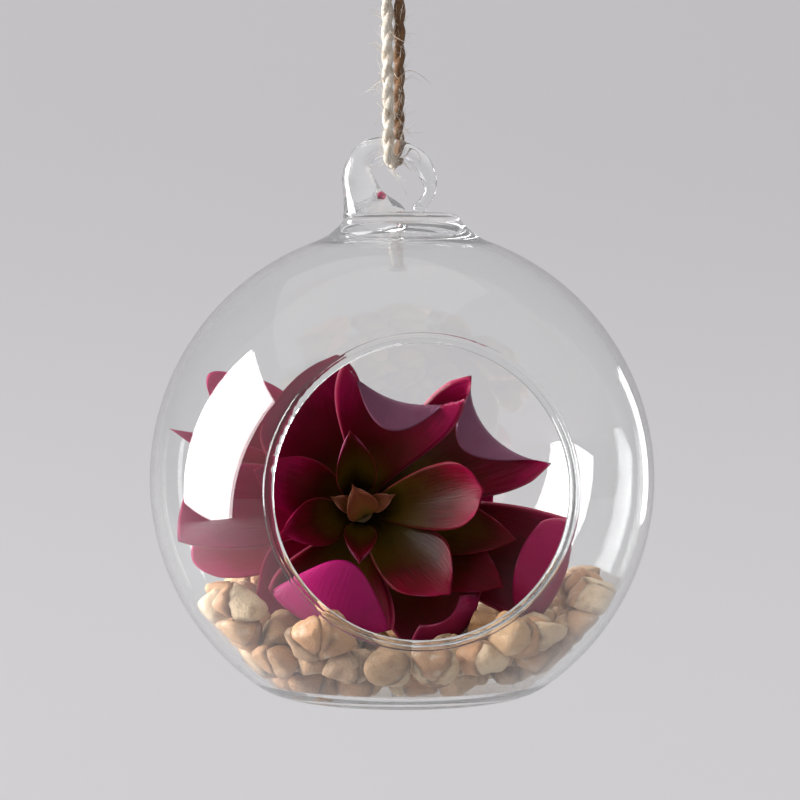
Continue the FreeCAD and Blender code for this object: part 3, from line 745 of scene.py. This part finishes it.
# The leaves' numbers are the turn, lean, rise, length and width. A bud has no rise among them, and
# its last two are the cup and the offset.
LEAVES = [
    bud("bud_1", -65, -36, 9.0, 6.5, 1.4, 0.62),
    bud("bud_2", 25, 40, 6.0, 3.6, 0.8, 0.75),
    bud("bud_3", 158, 40, 6.0, 3.4, 0.8, 0.7),
    LeafShape("leaf_inner_1", 103, 40, 2.4, 21, 8, foot=0.35, widest=0.5),
    LeafShape("leaf_inner_2", -96, 46, 2.2, 12, 6.5, cup=1.6, foot=0.4, widest=0.5, end=0.25),
    LeafShape(
        "leaf_inner_3", 7, 52, 1.0, 28, 13, cup=2.2, widest=0.8, end=0.7, bend=16, point=0.6, blunt=0.05
    ),
    LeafShape("leaf_inner_4", -163, 50, 1.0, 20, 9.5, cup=1.8, end=0.45),
    LeafShape("leaf_inner_5", -47, 57, -0.4, 26, 14, widest=0.75, end=0.6, bend=12),
    LeafShape("leaf_inner_6", 162, 58, -0.6, 24, 12, cup=1.6, end=0.6),
    LeafShape("leaf_inner_7", -13, 66, -1.8, 30, 11, cup=1.0, end=0.5, bend=4),
    LeafShape("leaf_inner_8", -31, 69, -3.1, 31, 14, cup=1.6, end=0.5, bend=8),
    broad(
        "leaf_outer_1", 73, 56, -2.0, 30.5, 25,
        widest=0.9, end=0.95, blunt=-0.06, fold_at=0.74, fold=130, fold_run=4, ears=9.5,
    ),
    broad(
        "leaf_outer_2", -109, 56, -3.0, 44, 25,
        widest=0.7, end=0.6, sharp=3.5, blunt=0.16, fold_at=0.6, fold=135, fold_run=8, ears=-1,
    ),
    broad(
        "leaf_outer_3", 29.5, 68, -4.6, 36.5, 25,
        cup=2, widest=0.85, end=0.9, sharp=1.1, bend=8, blunt=0.03,
        fold_at=0.72, fold=135, fold_run=6, ears=8, slant=2.6,
    ),
    broad(
        "leaf_outer_4", 119, 68, -5.2, 29.5, 23,
        cup=2, widest=0.8, end=0.85, waist=1, fold_at=0.9, fold=60, ears=0, slant=3,
    ),
    broad(
        "leaf_outer_5", -20, 76, -6.4, 54, 22,
        cup=2.5, widest=0.75, end=0.75, sharp=4, waist=1, bend=4, blunt=0.06,
        fold_at=0.7, fold=140, fold_run=8, ears=0,
    ),
    broad(
        "leaf_outer_6", -55, 71, -4.8, 38, 19,
        cup=2.5, end=0.5, waist=1, bend=5, fold_at=0.76, fold=112, ears=-2,
    ),
    broad(
        "leaf_outer_7", -6, 80, -9.7, 27, 13,
        cup=2, waist=1, bend=6, fold_at=0.86, fold_run=4, ears=2,
    ),
    LeafShape(
        "leaf_back_1", 180, 76, -5.6, 34.5, 17,
        cup=2.5, widest=0.7, end=0.8, blunt=0.02, point=0, slant=-2,
    ),
    LeafShape("leaf_back_2", 158, 80, -7.6, 38, 6.5, widest=0.4, bend=8),
    LeafShape("leaf_back_3", 228, 74, -9.0, 30, 15, bend=4),
    LeafShape("leaf_back_4", 139, 84, -10.4, 38, 15, end=0.5, sharp=2.8, bend=12, point=0),
    LeafShape("leaf_back_5", 198, 84, -11.4, 33, 15, end=0.7, bend=6, point=0),
]


class Whorl(Enum):
    """The plant's rings of leaves, by what their nodes' names begin with."""

    BUDS = "bud"
    INNER = "leaf_inner"
    OUTER = "leaf_outer"
    BACK = "leaf_back"


LEAF_FINISHES = {
    Whorl.BUDS: WaxyLeaf(
        "bud_skin",
        foot=linear(120, 92, 40),
        middle=linear(140, 84, 44),
        end=linear(128, 66, 42),
        tip=linear(128, 66, 42),
        margin=linear(196, 120, 92),
        under=linear(160, 104, 74),
        rose=linear(160, 104, 74),
        flushed=linear(160, 104, 74),
    ),
    Whorl.INNER: WaxyLeaf(
        "inner_leaf_skin",
        foot=linear(66, 48, 2),
        middle=linear(62, 18, 6),
        end=linear(104, 0, 28),
        tip=linear(142, 4, 60),
        margin=linear(140, 34, 50),
        gloss=0.08,
        olive_until=0.55,
        crimson_from=0.84,
        edge_reach=0.08,
    ),
    Whorl.OUTER: WaxyLeaf("outer_leaf_skin", crimson_from=0.78),
    Whorl.BACK: WaxyLeaf(
        "back_leaf_skin",
        foot=linear(128, 16, 44),
        middle=linear(136, 6, 44),
        end=linear(156, 0, 66),
        tip=linear(178, 6, 92),
        rose=linear(172, 4, 78),
        under_foot=linear(132, 2, 50),
        gloss=0.1,
        olive_until=0.3,
    ),
}


@dataclass(frozen=True)
class Tone:
    """How one leaf differs: how magenta its underside is and how far up its face is olive."""

    flush: float = 0.5
    olive: float = 0.0


TONES = {
    "leaf_inner_1": Tone(0.2, 0.3),
    "leaf_inner_2": Tone(0.2, 0.1),
    "leaf_inner_3": Tone(0.2, 0.08),
    "leaf_inner_5": Tone(0.2, 0.1),
    "leaf_inner_6": Tone(0.2, -0.2),
    "leaf_inner_7": Tone(0.2, 0.3),
    "leaf_inner_8": Tone(0.2, 0.15),
    "leaf_outer_1": Tone(0.0, -0.05),
    "leaf_outer_2": Tone(0.9, 0.0),
    "leaf_outer_3": Tone(0.0, 0.1),
    "leaf_outer_4": Tone(0.5, -0.1),
    "leaf_outer_5": Tone(0.55, 0.0),
    "leaf_outer_6": Tone(0.45, 0.15),
}


@dataclass
class Succulent:
    """The plant: its leaves and the stem that carries them. Lengths are in millimetres."""

    middle: Vector = field(default_factory=lambda: Vector((-8.6, -3.0, 36.5)))
    axis: Vector = field(default_factory=lambda: Vector((0, -1, 0.12)))
    stem_radius: float = 2.42
    thickness: float = 1.0
    side_taper: int = 4
    end_taper: int = 8
    point_spread: float = 0.3
    cup_growth: float = 5.0
    rows: int = 56
    columns: int = 25

    def outline(self, leaf: LeafShape, share: float) -> float:
        """Gives how wide a leaf is.

        Args:
            leaf: the leaf's shape.
            share: the place from 0 at the foot to 1 at the end.

        Returns:
            The width there as a share of the widest.
        """
        if share < leaf.widest:
            swelling = math.sin(share / leaf.widest * math.pi / 2) ** leaf.waist
            return leaf.foot + (1 - leaf.foot) * swelling
        narrowing = ((share - leaf.widest) / (1 - leaf.widest)) ** leaf.sharp
        return 1 - (1 - leaf.end) * narrowing

    def grid(self, leaf: LeafShape) -> list[list[Vector]]:
        """Lays out a leaf's middle surface.

        Args:
            leaf: the leaf's shape.

        Returns:
            Rows of points from the foot to the end, in millimetres.
        """
        axis = self.axis.normalized()
        right = (-axis).cross(Vector((0, 0, 1))).normalized()
        up = right.cross(-axis)
        turn, lean = math.radians(leaf.turn), math.radians(leaf.lean)
        outward = right * math.cos(turn) + up * math.sin(turn)
        along = axis * math.cos(lean) + outward * math.sin(lean)
        face = (axis - along * axis.dot(along)).normalized()
        across = along.cross(face)
        reach = leaf.offset * self.stem_radius
        foot = self.middle + Vector((reach * math.cos(turn), -leaf.rise, reach * math.sin(turn)))
        rows = [[] for _ in range(self.rows)]
        for column in range(self.columns):
            u = 2 * column / (self.columns - 1) - 1
            tip = leaf.length * (1 - leaf.blunt * u * u)
            tip += leaf.point * max(0, 1 - abs(u) / self.point_spread)
            tip += leaf.slant * u
            crease = leaf.length * leaf.fold_at + leaf.ears * u * u + leaf.slant * u
            run = out = heading = 0.0
            for row in range(self.rows):
                share = row / (self.rows - 1)
                place = share * tip
                bow = leaf.bend * place / leaf.length
                now = math.radians(bow + leaf.fold * smooth((place - crease) / leaf.fold_run))
                if row:
                    run += math.cos((now + heading) / 2) * tip / (self.rows - 1)
                    out += math.sin((now + heading) / 2) * tip / (self.rows - 1)
                heading = now
                full = self.outline(leaf, share)
                lift = leaf.cup * full * u * u * min(1, self.cup_growth * share)
                point = across * (leaf.width / 2 * full * u)
                point += along * (run - math.sin(now) * lift)
                point += face * (out + math.cos(now) * lift)
                rows[row].append(foot + point)
        return rows

    def build_leaf(self, leaf: LeafShape, material: bpy.types.Material) -> None:
        """Makes a leaf with its thickness, thin at the rim, where its two faces share their points.

        Args:
            leaf: the leaf's shape.
            material: its finish.
        """
        grid = self.grid(leaf)
        last, wide = self.rows - 1, self.columns - 1
        points, alongs, acrosses, sides = [], [], [], []
        index = {1: {}, -1: {}}
        for i in range(self.rows):
            for j in range(self.columns):
                u, v = 2 * j / wide - 1, 2 * i / last - 1
                across = grid[i][min(j + 1, wide)] - grid[i][max(j - 1, 0)]
                along = grid[min(i + 1, last)][j] - grid[max(i - 1, 0)][j]
                half = self.thickness / 2 * (1 - u**self.side_taper) * (1 - v**self.end_taper)
                normal = across.cross(along).normalized()
                rim = i in (0, last) or j in (0, wide)
                for side in (1, -1):
                    if rim and side == -1:
                        index[-1][i, j] = index[1][i, j]
                        continue
                    index[side][i, j] = len(points)
                    points.append((grid[i][j] + normal * (side * half)) * MM)
                    alongs.append(i / last)
                    acrosses.append(u)
                    sides.append(0.0 if rim else float(side))
        faces = []
        for i in range(last):
            for j in range(wide):
                ring = [(i, j), (i, j + 1), (i + 1, j + 1), (i + 1, j)]
                faces.append(tuple(index[1][key] for key in ring))
                faces.append(tuple(index[-1][key] for key in reversed(ring)))
        tone = TONES.get(leaf.name, Tone())
        values = {"along": alongs, "across": acrosses, "side": sides}
        values["flush"] = [tone.flush] * len(points)
        values["olive"] = [tone.olive] * len(points)
        piece = mesh_piece(f"{leaf.name}_skin", points, faces, material, values)
        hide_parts(leaf.name)

    def build(self, nodes: dict[str, bpy.types.Object]) -> None:
        """Builds every leaf and dresses the stem.

        Args:
            nodes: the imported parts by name.
        """
        materials = {whorl: finish.material() for whorl, finish in LEAF_FINISHES.items()}
        for leaf in LEAVES:
            whorl = next(w for w in Whorl if leaf.name.startswith(w.value))
            self.build_leaf(leaf, materials[whorl])
        dress(nodes["succulent_stem"], StemBark().material())
        LOG.info("succulent: %d leaves and buds", len(LEAVES))


@dataclass
class Pebbles:
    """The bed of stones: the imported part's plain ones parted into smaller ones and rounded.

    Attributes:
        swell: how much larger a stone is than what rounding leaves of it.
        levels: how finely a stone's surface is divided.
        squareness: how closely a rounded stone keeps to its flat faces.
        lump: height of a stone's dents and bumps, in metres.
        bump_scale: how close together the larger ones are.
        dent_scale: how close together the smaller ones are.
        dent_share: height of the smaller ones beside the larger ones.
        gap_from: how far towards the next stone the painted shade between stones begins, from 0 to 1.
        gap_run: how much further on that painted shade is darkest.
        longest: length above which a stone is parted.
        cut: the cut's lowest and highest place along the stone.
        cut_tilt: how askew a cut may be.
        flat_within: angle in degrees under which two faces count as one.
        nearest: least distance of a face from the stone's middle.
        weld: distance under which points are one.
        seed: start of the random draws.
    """

    swell: float = 1.1
    levels: int = 3
    squareness: float = 7.0
    lump: float = 0.00042
    bump_scale: float = 260.0
    dent_scale: float = 620.0
    dent_share: float = 0.6
    gap_from: float = 0.8
    gap_run: float = 0.2
    longest: float = 0.0102
    cut: tuple[float, float] = (0.42, 0.58)
    cut_tilt: float = 0.3
    flat_within: float = 12.0
    nearest: float = 0.0004
    weld: float = 0.00001
    seed: int = 5

    def ball(self) -> tuple[list[Vector], list[tuple[int, ...]]]:
        """Divides a ball evenly.

        Returns:
            Directions spread round it, and the corners of each face between them.
        """
        ball = bmesh.new()
        bmesh.ops.create_icosphere(ball, subdivisions=self.levels, radius=1.0)
        ways = [vert.co.normalized() for vert in ball.verts]
        rings = [tuple(vert.index for vert in face.verts) for face in ball.faces]
        ball.free()
        return ways, rings

    def build(self, nodes: dict[str, bpy.types.Object]) -> None:
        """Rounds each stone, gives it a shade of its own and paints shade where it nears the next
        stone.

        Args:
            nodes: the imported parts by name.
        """
        chance = random.Random(self.seed)
        mesh = bmesh.new()
        mesh.from_mesh(nodes["pebbles"].data)
        bmesh.ops.remove_doubles(mesh, verts=mesh.verts, dist=self.weld)
        ways, rings = self.ball()
        rounded = []
        for stone in self.islands(mesh):
            for piece in self.part_stone(stone, chance):
                rounded.append(self.round_stone(piece, ways))
        mesh.free()
        middles = [sum(points, Vector()) / len(points) for points in rounded]
        near = kdtree.KDTree(len(middles))
        for number, middle in enumerate(middles):
            near.insert(middle, number)
        near.balance()
        places: list[Vector] = []
        faces: list[tuple[int, ...]] = []
        shades: list[float] = []
        gap_shades: list[float] = []
        for points, middle in zip(rounded, middles):
            shade = chance.random()
            start = len(places)
            for point in points:
                places.append(self.roughen(point, middle))
                shades.append(shade)
                # painted shade between stones: darker where a point is about as near the next stone's
                # middle as its own
                own, other = [distance for _, _, distance in near.find_n(point, 2)]
                gap_shades.append(smooth((own / other - self.gap_from) / self.gap_run))
            faces += [tuple(start + i for i in ring) for ring in rings]
        values = {"shade": shades, "gap": gap_shades}
        piece = mesh_piece("pebble_bed", places, faces, TumbledStone().material(), values)
        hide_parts("pebbles")
        LOG.info("pebbles: %d stones, %d faces", len(rounded), len(faces))

    def islands(self, mesh: bmesh.types.BMesh) -> list[set[bmesh.types.BMFace]]:
        """Splits the bed into its separate stones.

        Args:
            mesh: the whole bed.

        Returns:
            The faces of each stone.
        """
        left = set(mesh.faces)
        found = []
        while left:
            group = set()
            ahead = [left.pop()]
            while ahead:
                face = ahead.pop()
                group.add(face)
                for edge in face.edges:
                    for near in edge.link_faces:
                        if near in left:
                            left.remove(near)
                            ahead.append(near)
            found.append(group)
        return sorted(found, key=lambda g: tuple(min(v.co for f in g for v in f.verts)))

    def part_stone(
        self, stone: set[bmesh.types.BMFace], chance: random.Random
    ) -> list[bmesh.types.BMesh]:
        """Parts a long stone across its longest way until no part is long.

        Args:
            stone: the faces of one stone.
            chance: the source of small differences.

        Returns:
            The parts as closed meshes.
        """
        work = bmesh.new()
        known: dict[bmesh.types.BMVert, bmesh.types.BMVert] = {}
        for face in sorted(stone, key=lambda f: f.index):
            corners = []
            for vert in face.verts:
                if vert not in known:
                    known[vert] = work.verts.new(vert.co)
                corners.append(known[vert])
            work.faces.new(corners)
        ready, ahead = [], [work]
        while ahead:
            work = ahead.pop()
            pairs = [(a.co, b.co) for a in work.verts for b in work.verts]
            start, stop = max(pairs, key=lambda pair: (pair[1] - pair[0]).length)
            way = stop - start
            if way.length < self.longest:
                ready.append(work)
                continue
            spot = start + way * chance.uniform(*self.cut)
            tilt = Vector([chance.uniform(-self.cut_tilt, self.cut_tilt) for _ in range(3)])
            normal = (way.normalized() + tilt).normalized()
            for side in (normal, -normal):
                half = work.copy()
                geometry = half.verts[:] + half.edges[:] + half.faces[:]
                bmesh.ops.bisect_plane(
                    half, geom=geometry, plane_co=spot, plane_no=side, clear_outer=True
                )
                rim = [edge for edge in half.edges if edge.is_boundary]
                bmesh.ops.holes_fill(half, edges=rim)
                ahead.append(half)
            work.free()
        return ready

    def round_stone(self, work: bmesh.types.BMesh, ways: list[Vector]) -> list[Vector]:
        """Rounds a stone that has flat faces, inside those faces.

        Args:
            work: one stone, which is used up.
            ways: directions spread evenly round a ball.

        Returns:
            The rounded stone's points, one for each direction.
        """
        flat = math.radians(self.flat_within)
        bmesh.ops.dissolve_limit(work, angle_limit=flat, verts=work.verts, edges=work.edges)
        work.normal_update()
        middle = sum((vert.co for vert in work.verts), Vector()) / len(work.verts)
        planes = []
        for face in work.faces:
            reach = (face.calc_center_median() - middle).dot(face.normal)
            outward = face.normal.copy() * (1 if reach > 0 else -1)
            planes.append((outward, max(abs(reach), self.nearest)))
        work.free()
        points = []
        for way in ways:
            total = sum(
                (max(way.dot(normal), 0.0) / reach) ** self.squareness for normal, reach in planes
            )
            points.append(middle + way * total ** (-1 / self.squareness))
        return points

    def roughen(self, point: Vector, middle: Vector) -> Vector:
        """Swells a stone's point and moves it in or out a little.

        Args:
            point: a point of the rounded stone.
            middle: the stone's middle.

        Returns:
            The point's new place.
        """
        away = (point - middle) * self.swell
        bumps = noise.noise(point * self.bump_scale)
        ripple = bumps + self.dent_share * noise.noise(point * self.dent_scale)
        return middle + away + away.normalized() * (ripple * self.lump)


def ring_faces(start: int, around: int) -> list[tuple[int, ...]]:
    """Joins a ring of points to the ring before it.

    Args:
        start: number of the ring's first point.
        around: how many points each ring has.

    Returns:
        The corners of each face.
    """
    faces = []
    for turn in range(around):
        after = (turn + 1) % around
        faces.append((start + turn, start + after, start + after - around, start + turn - around))
    return faces


@dataclass
class StrayFibres:
    """Thin hairs that stand off the twine.

    Attributes:
        count: how many there are.
        clear_start: steps at the twine's start that carry none.
        clear_end: steps at its end that carry none.
        foot: distance of a hair's foot from the twine's middle, in diameters.
        lift: how far a hair stands off, from the least to the most.
        curl: how much a hair bends at each step.
        radii: the hairs' radii to choose from.
        steps: the numbers of steps to choose from.
        step: length of a step.
        taper: how much thinner a hair is at its end.
        around: points round a hair.
        seed: start of the random draws.
    """

    count: int = 260
    clear_start: int = 2
    clear_end: int = 12
    foot: float = 0.42
    lift: tuple[float, float] = (0.25, 0.9)
    curl: float = 0.22
    radii: tuple[float, ...] = (0.00003, 0.00004, 0.00005, 0.00009)
    steps: tuple[int, ...] = (5, 6, 8, 10, 13, 17)
    step: float = 0.00042
    taper: float = 0.7
    around: int = 3
    seed: int = 3

    def build(
        self, frames: list[Frame], diameter: float, lay_length: float, material: bpy.types.Material
    ) -> bpy.types.Object:
        """Makes the hairs.

        Args:
            frames: places along the twine.
            diameter: the twine's diameter.
            lay_length: length of one turn of its plies.
            material: the jute finish.

        Returns:
            The hairs as one object.
        """
        chance = random.Random(self.seed)
        points, faces, alongs = [], [], []
        for _ in range(self.count):
            root = chance.randrange(self.clear_start, len(frames) - self.clear_end)
            place, side, other, walked = frames[root]
            spin = chance.uniform(0, 2 * math.pi)
            outward = side * math.cos(spin) + other * math.sin(spin)
            along = side.cross(other) * chance.choice((-1, 1))
            here = place + outward * (diameter * self.foot)
            way = (outward * chance.uniform(*self.lift) + along).normalized()
            drift = Vector([chance.uniform(-1, 1) for _ in range(3)]) * self.curl
            thick = chance.choice(self.radii)
            steps = chance.choice(self.steps)
            for number in range(steps + 1):
                across = way.orthogonal().normalized()
                over = way.cross(across)
                start = len(points)
                slim = thick * (1 - self.taper * number / steps)
                for turn in range(self.around):
                    angle = turn * 2 * math.pi / self.around
                    points.append(here + (across * math.cos(angle) + over * math.sin(angle)) * slim)
                    alongs.append(walked / lay_length)
                if number:
                    faces += ring_faces(start, self.around)
                here = here + way * self.step
                way = (way + drift).normalized()
        # tone 1: the hairs take the front leg's colours, without the painted shade of the back leg
        values = {"along": alongs, "around": [0.5] * len(points), "tone": [1.0] * len(points)}
        return mesh_piece("twine_fibres", points, faces, material, values)


@dataclass
class Twine:
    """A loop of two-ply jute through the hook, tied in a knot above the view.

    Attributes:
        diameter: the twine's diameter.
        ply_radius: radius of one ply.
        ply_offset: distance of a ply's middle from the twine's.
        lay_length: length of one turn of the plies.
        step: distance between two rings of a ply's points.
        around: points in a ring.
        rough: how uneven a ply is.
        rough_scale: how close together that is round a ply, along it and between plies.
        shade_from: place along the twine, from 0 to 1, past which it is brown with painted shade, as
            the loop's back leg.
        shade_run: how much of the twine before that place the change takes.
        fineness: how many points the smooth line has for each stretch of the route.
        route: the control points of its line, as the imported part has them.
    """

    diameter: float = 0.0021
    ply_radius: float = 0.00084
    ply_offset: float = 0.00038
    lay_length: float = 0.0085
    step: float = 0.00035
    around: int = 14
    rough: float = 0.10
    rough_scale: tuple[float, float, float] = (0.9, 900.0, 7.0)
    shade_from: float = 0.56
    shade_run: float = 0.12
    fineness: int = 24
    route: tuple[tuple[float, float, float], ...] = (
        (-0.002958, -0.00015, 0.139012),
        (-0.002958, -0.00015, 0.134812),
        (-0.002958, -0.00312, 0.109874),
        (-0.002958, -0.00312, 0.104984),
        (-0.000458, 0.00312, 0.104984),
        (-0.000458, 0.00312, 0.109874),
        (-0.000458, 0.00015, 0.134812),
        (-0.000458, 0.00015, 0.139012),
    )

    def centreline(self) -> list[Vector]:
        """Reads the points of the route's smooth line.

        Returns:
            Points close together along the twine.
        """
        curve = bpy.data.curves.new("twine_route", "CURVE")
        curve.dimensions = "3D"
        curve.resolution_u = self.fineness
        spline = curve.splines.new("NURBS")
        spline.points.add(len(self.route) - 1)
        for point, place in zip(spline.points, self.route):
            point.co = (*place, 1.0)
        spline.order_u = 3
        spline.use_endpoint_u = True
        holder = placed("twine_route", curve)
        graph = bpy.context.evaluated_depsgraph_get()
        line = bpy.data.meshes.new_from_object(holder.evaluated_get(graph))
        points = [v.co.copy() for v in line.vertices]
        bpy.data.objects.remove(holder)
        bpy.data.meshes.remove(line)
        return points

    def frames(self, line: list[Vector]) -> list[Frame]:
        """Walks along a line in even steps with a frame that doesn't spin.

        Args:
            line: points of the line.

        Returns:
            For each place the point, two directions across the line and the distance walked.
        """
        found = []
        side = Vector((1, 0, 0))
        walked = ahead = 0.0
        for start, stop in zip(line, line[1:]):
            span = (stop - start).length
            if span < TINY:
                continue
            way = (stop - start) / span
            while ahead <= walked + span:
                place = start + way * (ahead - walked)
                side = (side - way * side.dot(way)).normalized()
                found.append((place, side.copy(), way.cross(side), ahead))
                ahead += self.step
            walked += span
        return found

    def plies(
        self, frames: list[Frame], length: float, material: bpy.types.Material
    ) -> bpy.types.Object:
        """Winds two plies round the twine's line.

        Args:
            frames: places along the twine.
            length: the twine's length.
            material: the jute finish.

        Returns:
            Both plies as one object.
        """
        points, faces, alongs, arounds, lit_shares = [], [], [], [], []
        around_scale, along_scale, ply_scale = self.rough_scale
        for ply in range(2):
            for number, (place, side, other, walked) in enumerate(frames):
                angle = 2 * math.pi * walked / self.lay_length + ply * math.pi
                outward = side * math.cos(angle) + other * math.sin(angle)
                centre = place + outward * self.ply_offset
                start = len(points)
                for turn in range(self.around):
                    spin = 2 * math.pi * turn / self.around
                    way = side * math.cos(spin) + other * math.sin(spin)
                    spot = Vector((turn * around_scale, walked * along_scale, ply * ply_scale))
                    radius = self.ply_radius * (1 + self.rough * noise.noise(spot))
                    points.append(centre + way * radius)
                    alongs.append(walked / self.lay_length)
                    arounds.append(turn / self.around + walked / self.lay_length)
                    # painted shade: the tone value is 1 on the front leg and falls to 0 on the back
                    # leg, which the jute finish browns as if in shadow
                    lit_shares.append(smooth((self.shade_from - walked / length) / self.shade_run))
                if number:
                    faces += ring_faces(start, self.around)
            for row in (0, len(frames) - 1):
                base = (ply * len(frames) + row) * self.around
                faces.append(tuple(base + turn for turn in range(self.around)))
        values = {"along": alongs, "around": arounds, "tone": lit_shares}
        return mesh_piece("twine_plies", points, faces, material, values)

    def build(self, nodes: dict[str, bpy.types.Object]) -> None:
        """Builds the plies with their stray fibres and dresses the knot.

        Args:
            nodes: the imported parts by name.
        """
        line = self.centreline()
        length = sum((b - a).length for a, b in zip(line, line[1:]))
        frames = self.frames(line)
        material = JuteFibre().material()
        twine = self.plies(frames, length, material)
        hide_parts("twine")
        hairs = StrayFibres().build(frames, self.diameter, self.lay_length, material)
        dress(nodes["twine_knot"], material)
        LOG.info("twine: %.1f mm long", length / MM)


# Room and camera


@dataclass(frozen=True)
class SoftLamp:
    """A soft rectangular lamp.

    Attributes:
        name: the lamp's name.
        place: where it stands.
        size: its width and height.
        power: its power in watts.
        roll: its turn about the way it shines, in degrees.
        mirrored: whether glossy surfaces show it.
    """

    name: str
    place: tuple[float, float, float]
    size: tuple[float, float]
    power: float
    roll: float = 0.0
    mirrored: bool = True

    def hang(self, aim: Vector) -> None:
        """Puts the lamp in the scene.

        Args:
            aim: the point it shines at.
        """
        data = bpy.data.lights.new(self.name, "AREA")
        data.shape = "RECTANGLE"
        data.size, data.size_y = self.size
        data.energy = self.power
        lamp = placed(self.name, data)
        lamp.location = self.place
        lamp.visible_glossy = self.mirrored
        lamp.rotation_mode = "QUATERNION"
        turn = Quaternion((0, 0, 1), math.radians(self.roll))
        lamp.rotation_quaternion = (aim - Vector(self.place)).to_track_quat("-Z", "Y") @ turn


LAMPS = (
    SoftLamp("left_softbox", (-0.80, 0.098, 0.217), (0.487, 0.764), 13.0, roll=-16.0),
    SoftLamp("rim_strip", (0.62, 0.70, -0.01), (0.09, 0.55), 0.4),
    SoftLamp("overhead", (-0.2, 0.1, 1.05), (1.2, 1.2), 2.0, mirrored=False),
)


@dataclass
class Studio:
    """A pale room of bent paper, with soft lamps and the camera.

    The camera's distance and angles are from the middle of the globe. Angles are in degrees, and the
    lens and its sensor in millimetres.
    """

    middle: Vector = field(default_factory=lambda: Vector((0, 0, 0.0425)))
    distance: float = 0.5
    azimuth: float = -5.3
    elevation: float = 3.8
    lens: float = 112.95
    sensor: float = 36.0
    aim_rise: float = 0.0155
    shift: float = -0.0025
    clip: tuple[float, float] = (0.01, 20.0)
    half_width: float = 1.8
    front: float = -1.6
    bend_from: float = 0.5
    bend_radius: float = 0.4
    bend_steps: int = 12
    wall_height: float = 2.2
    air: Colour = (0.95, 0.94, 0.95)
    side_light: float = 0.34
    top_light: float = 0.62
    top_from: float = 0.8

    def camera(self) -> None:
        """Places the camera as the photograph has it."""
        turn, rise = math.radians(self.azimuth), math.radians(self.elevation)
        level = math.cos(rise)
        back = Vector((math.sin(turn) * level, -math.cos(turn) * level, math.sin(rise)))
        data = bpy.data.cameras.new("camera")
        data.lens = self.lens
        data.sensor_width = self.sensor
        data.clip_start, data.clip_end = self.clip
        data.shift_x = self.shift
        camera = placed("camera", data)
        camera.location = self.middle + back * self.distance
        target = self.middle + Vector((0, 0, self.aim_rise))
        camera.rotation_mode = "QUATERNION"
        camera.rotation_quaternion = (target - camera.location).to_track_quat("-Z", "Y")
        bpy.context.scene.camera = camera

    def room(self) -> None:
        """Builds the floor and the wall behind it as one bent sheet of paper."""
        profile = [(self.front, 0.0), (self.bend_from, 0.0)]
        for step in range(1, self.bend_steps + 1):
            angle = math.radians(90 * step / self.bend_steps)
            depth = self.bend_from + self.bend_radius * math.sin(angle)
            profile.append((depth, self.bend_radius - self.bend_radius * math.cos(angle)))
        profile.append((self.bend_from + self.bend_radius, self.wall_height))
        points, faces = [], []
        for depth, rise in profile:
            for side in (-self.half_width, self.half_width):
                points.append(Vector((side, depth, FLOOR_HEIGHT + rise)))
        for row in range(len(profile) - 1):
            faces.append((2 * row, 2 * row + 1, 2 * row + 3, 2 * row + 2))
        paper = mesh_piece("paper", points, faces, PaleRoom().material(), part=False)

    def room_light(self) -> bpy.types.World:
        """Makes the room's soft light, brighter from above than from beside the part.

        Returns:
            The scene's new world.
        """
        world = bpy.data.worlds.new("room_light")
        world.use_nodes = True
        nodes, links = world.node_tree.nodes, world.node_tree.links
        where = nodes.new("ShaderNodeTexCoord")
        split = nodes.new("ShaderNodeSeparateXYZ")
        links.new(where.outputs["Generated"], split.inputs[0])
        rise = nodes.new("ShaderNodeMapRange")
        rise.inputs["From Max"].default_value = self.top_from
        rise.inputs["To Min"].default_value = self.side_light
        rise.inputs["To Max"].default_value = self.top_light
        links.new(split.outputs["Z"], rise.inputs["Value"])
        background = nodes["Background"]
        background.inputs["Color"].default_value = (*self.air, 1)
        links.new(rise.outputs["Result"], background.inputs["Strength"])
        return world

    def build(self) -> None:
        """Builds the camera, the room, its lamps and its light."""
        scene = bpy.context.scene
        scene.view_settings.view_transform = "Standard"
        self.camera()
        self.room()
        for lamp in LAMPS:
            lamp.hang(self.middle)
        scene.world = self.room_light()


def main() -> None:
    """Builds the terrarium's pieces in order and reports each one."""
    logging.basicConfig(level=logging.INFO, format="%(name)s: %(message)s")
    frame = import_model()
    nodes = frame["nodes"]
    Studio().build()
    Twine().build(nodes)
    dress(nodes["globe"], BlownGlass().material())
    LOG.info("globe: glass")
    Succulent().build(nodes)
    Pebbles().build(nodes)


if __name__ == "__main__":
    main()
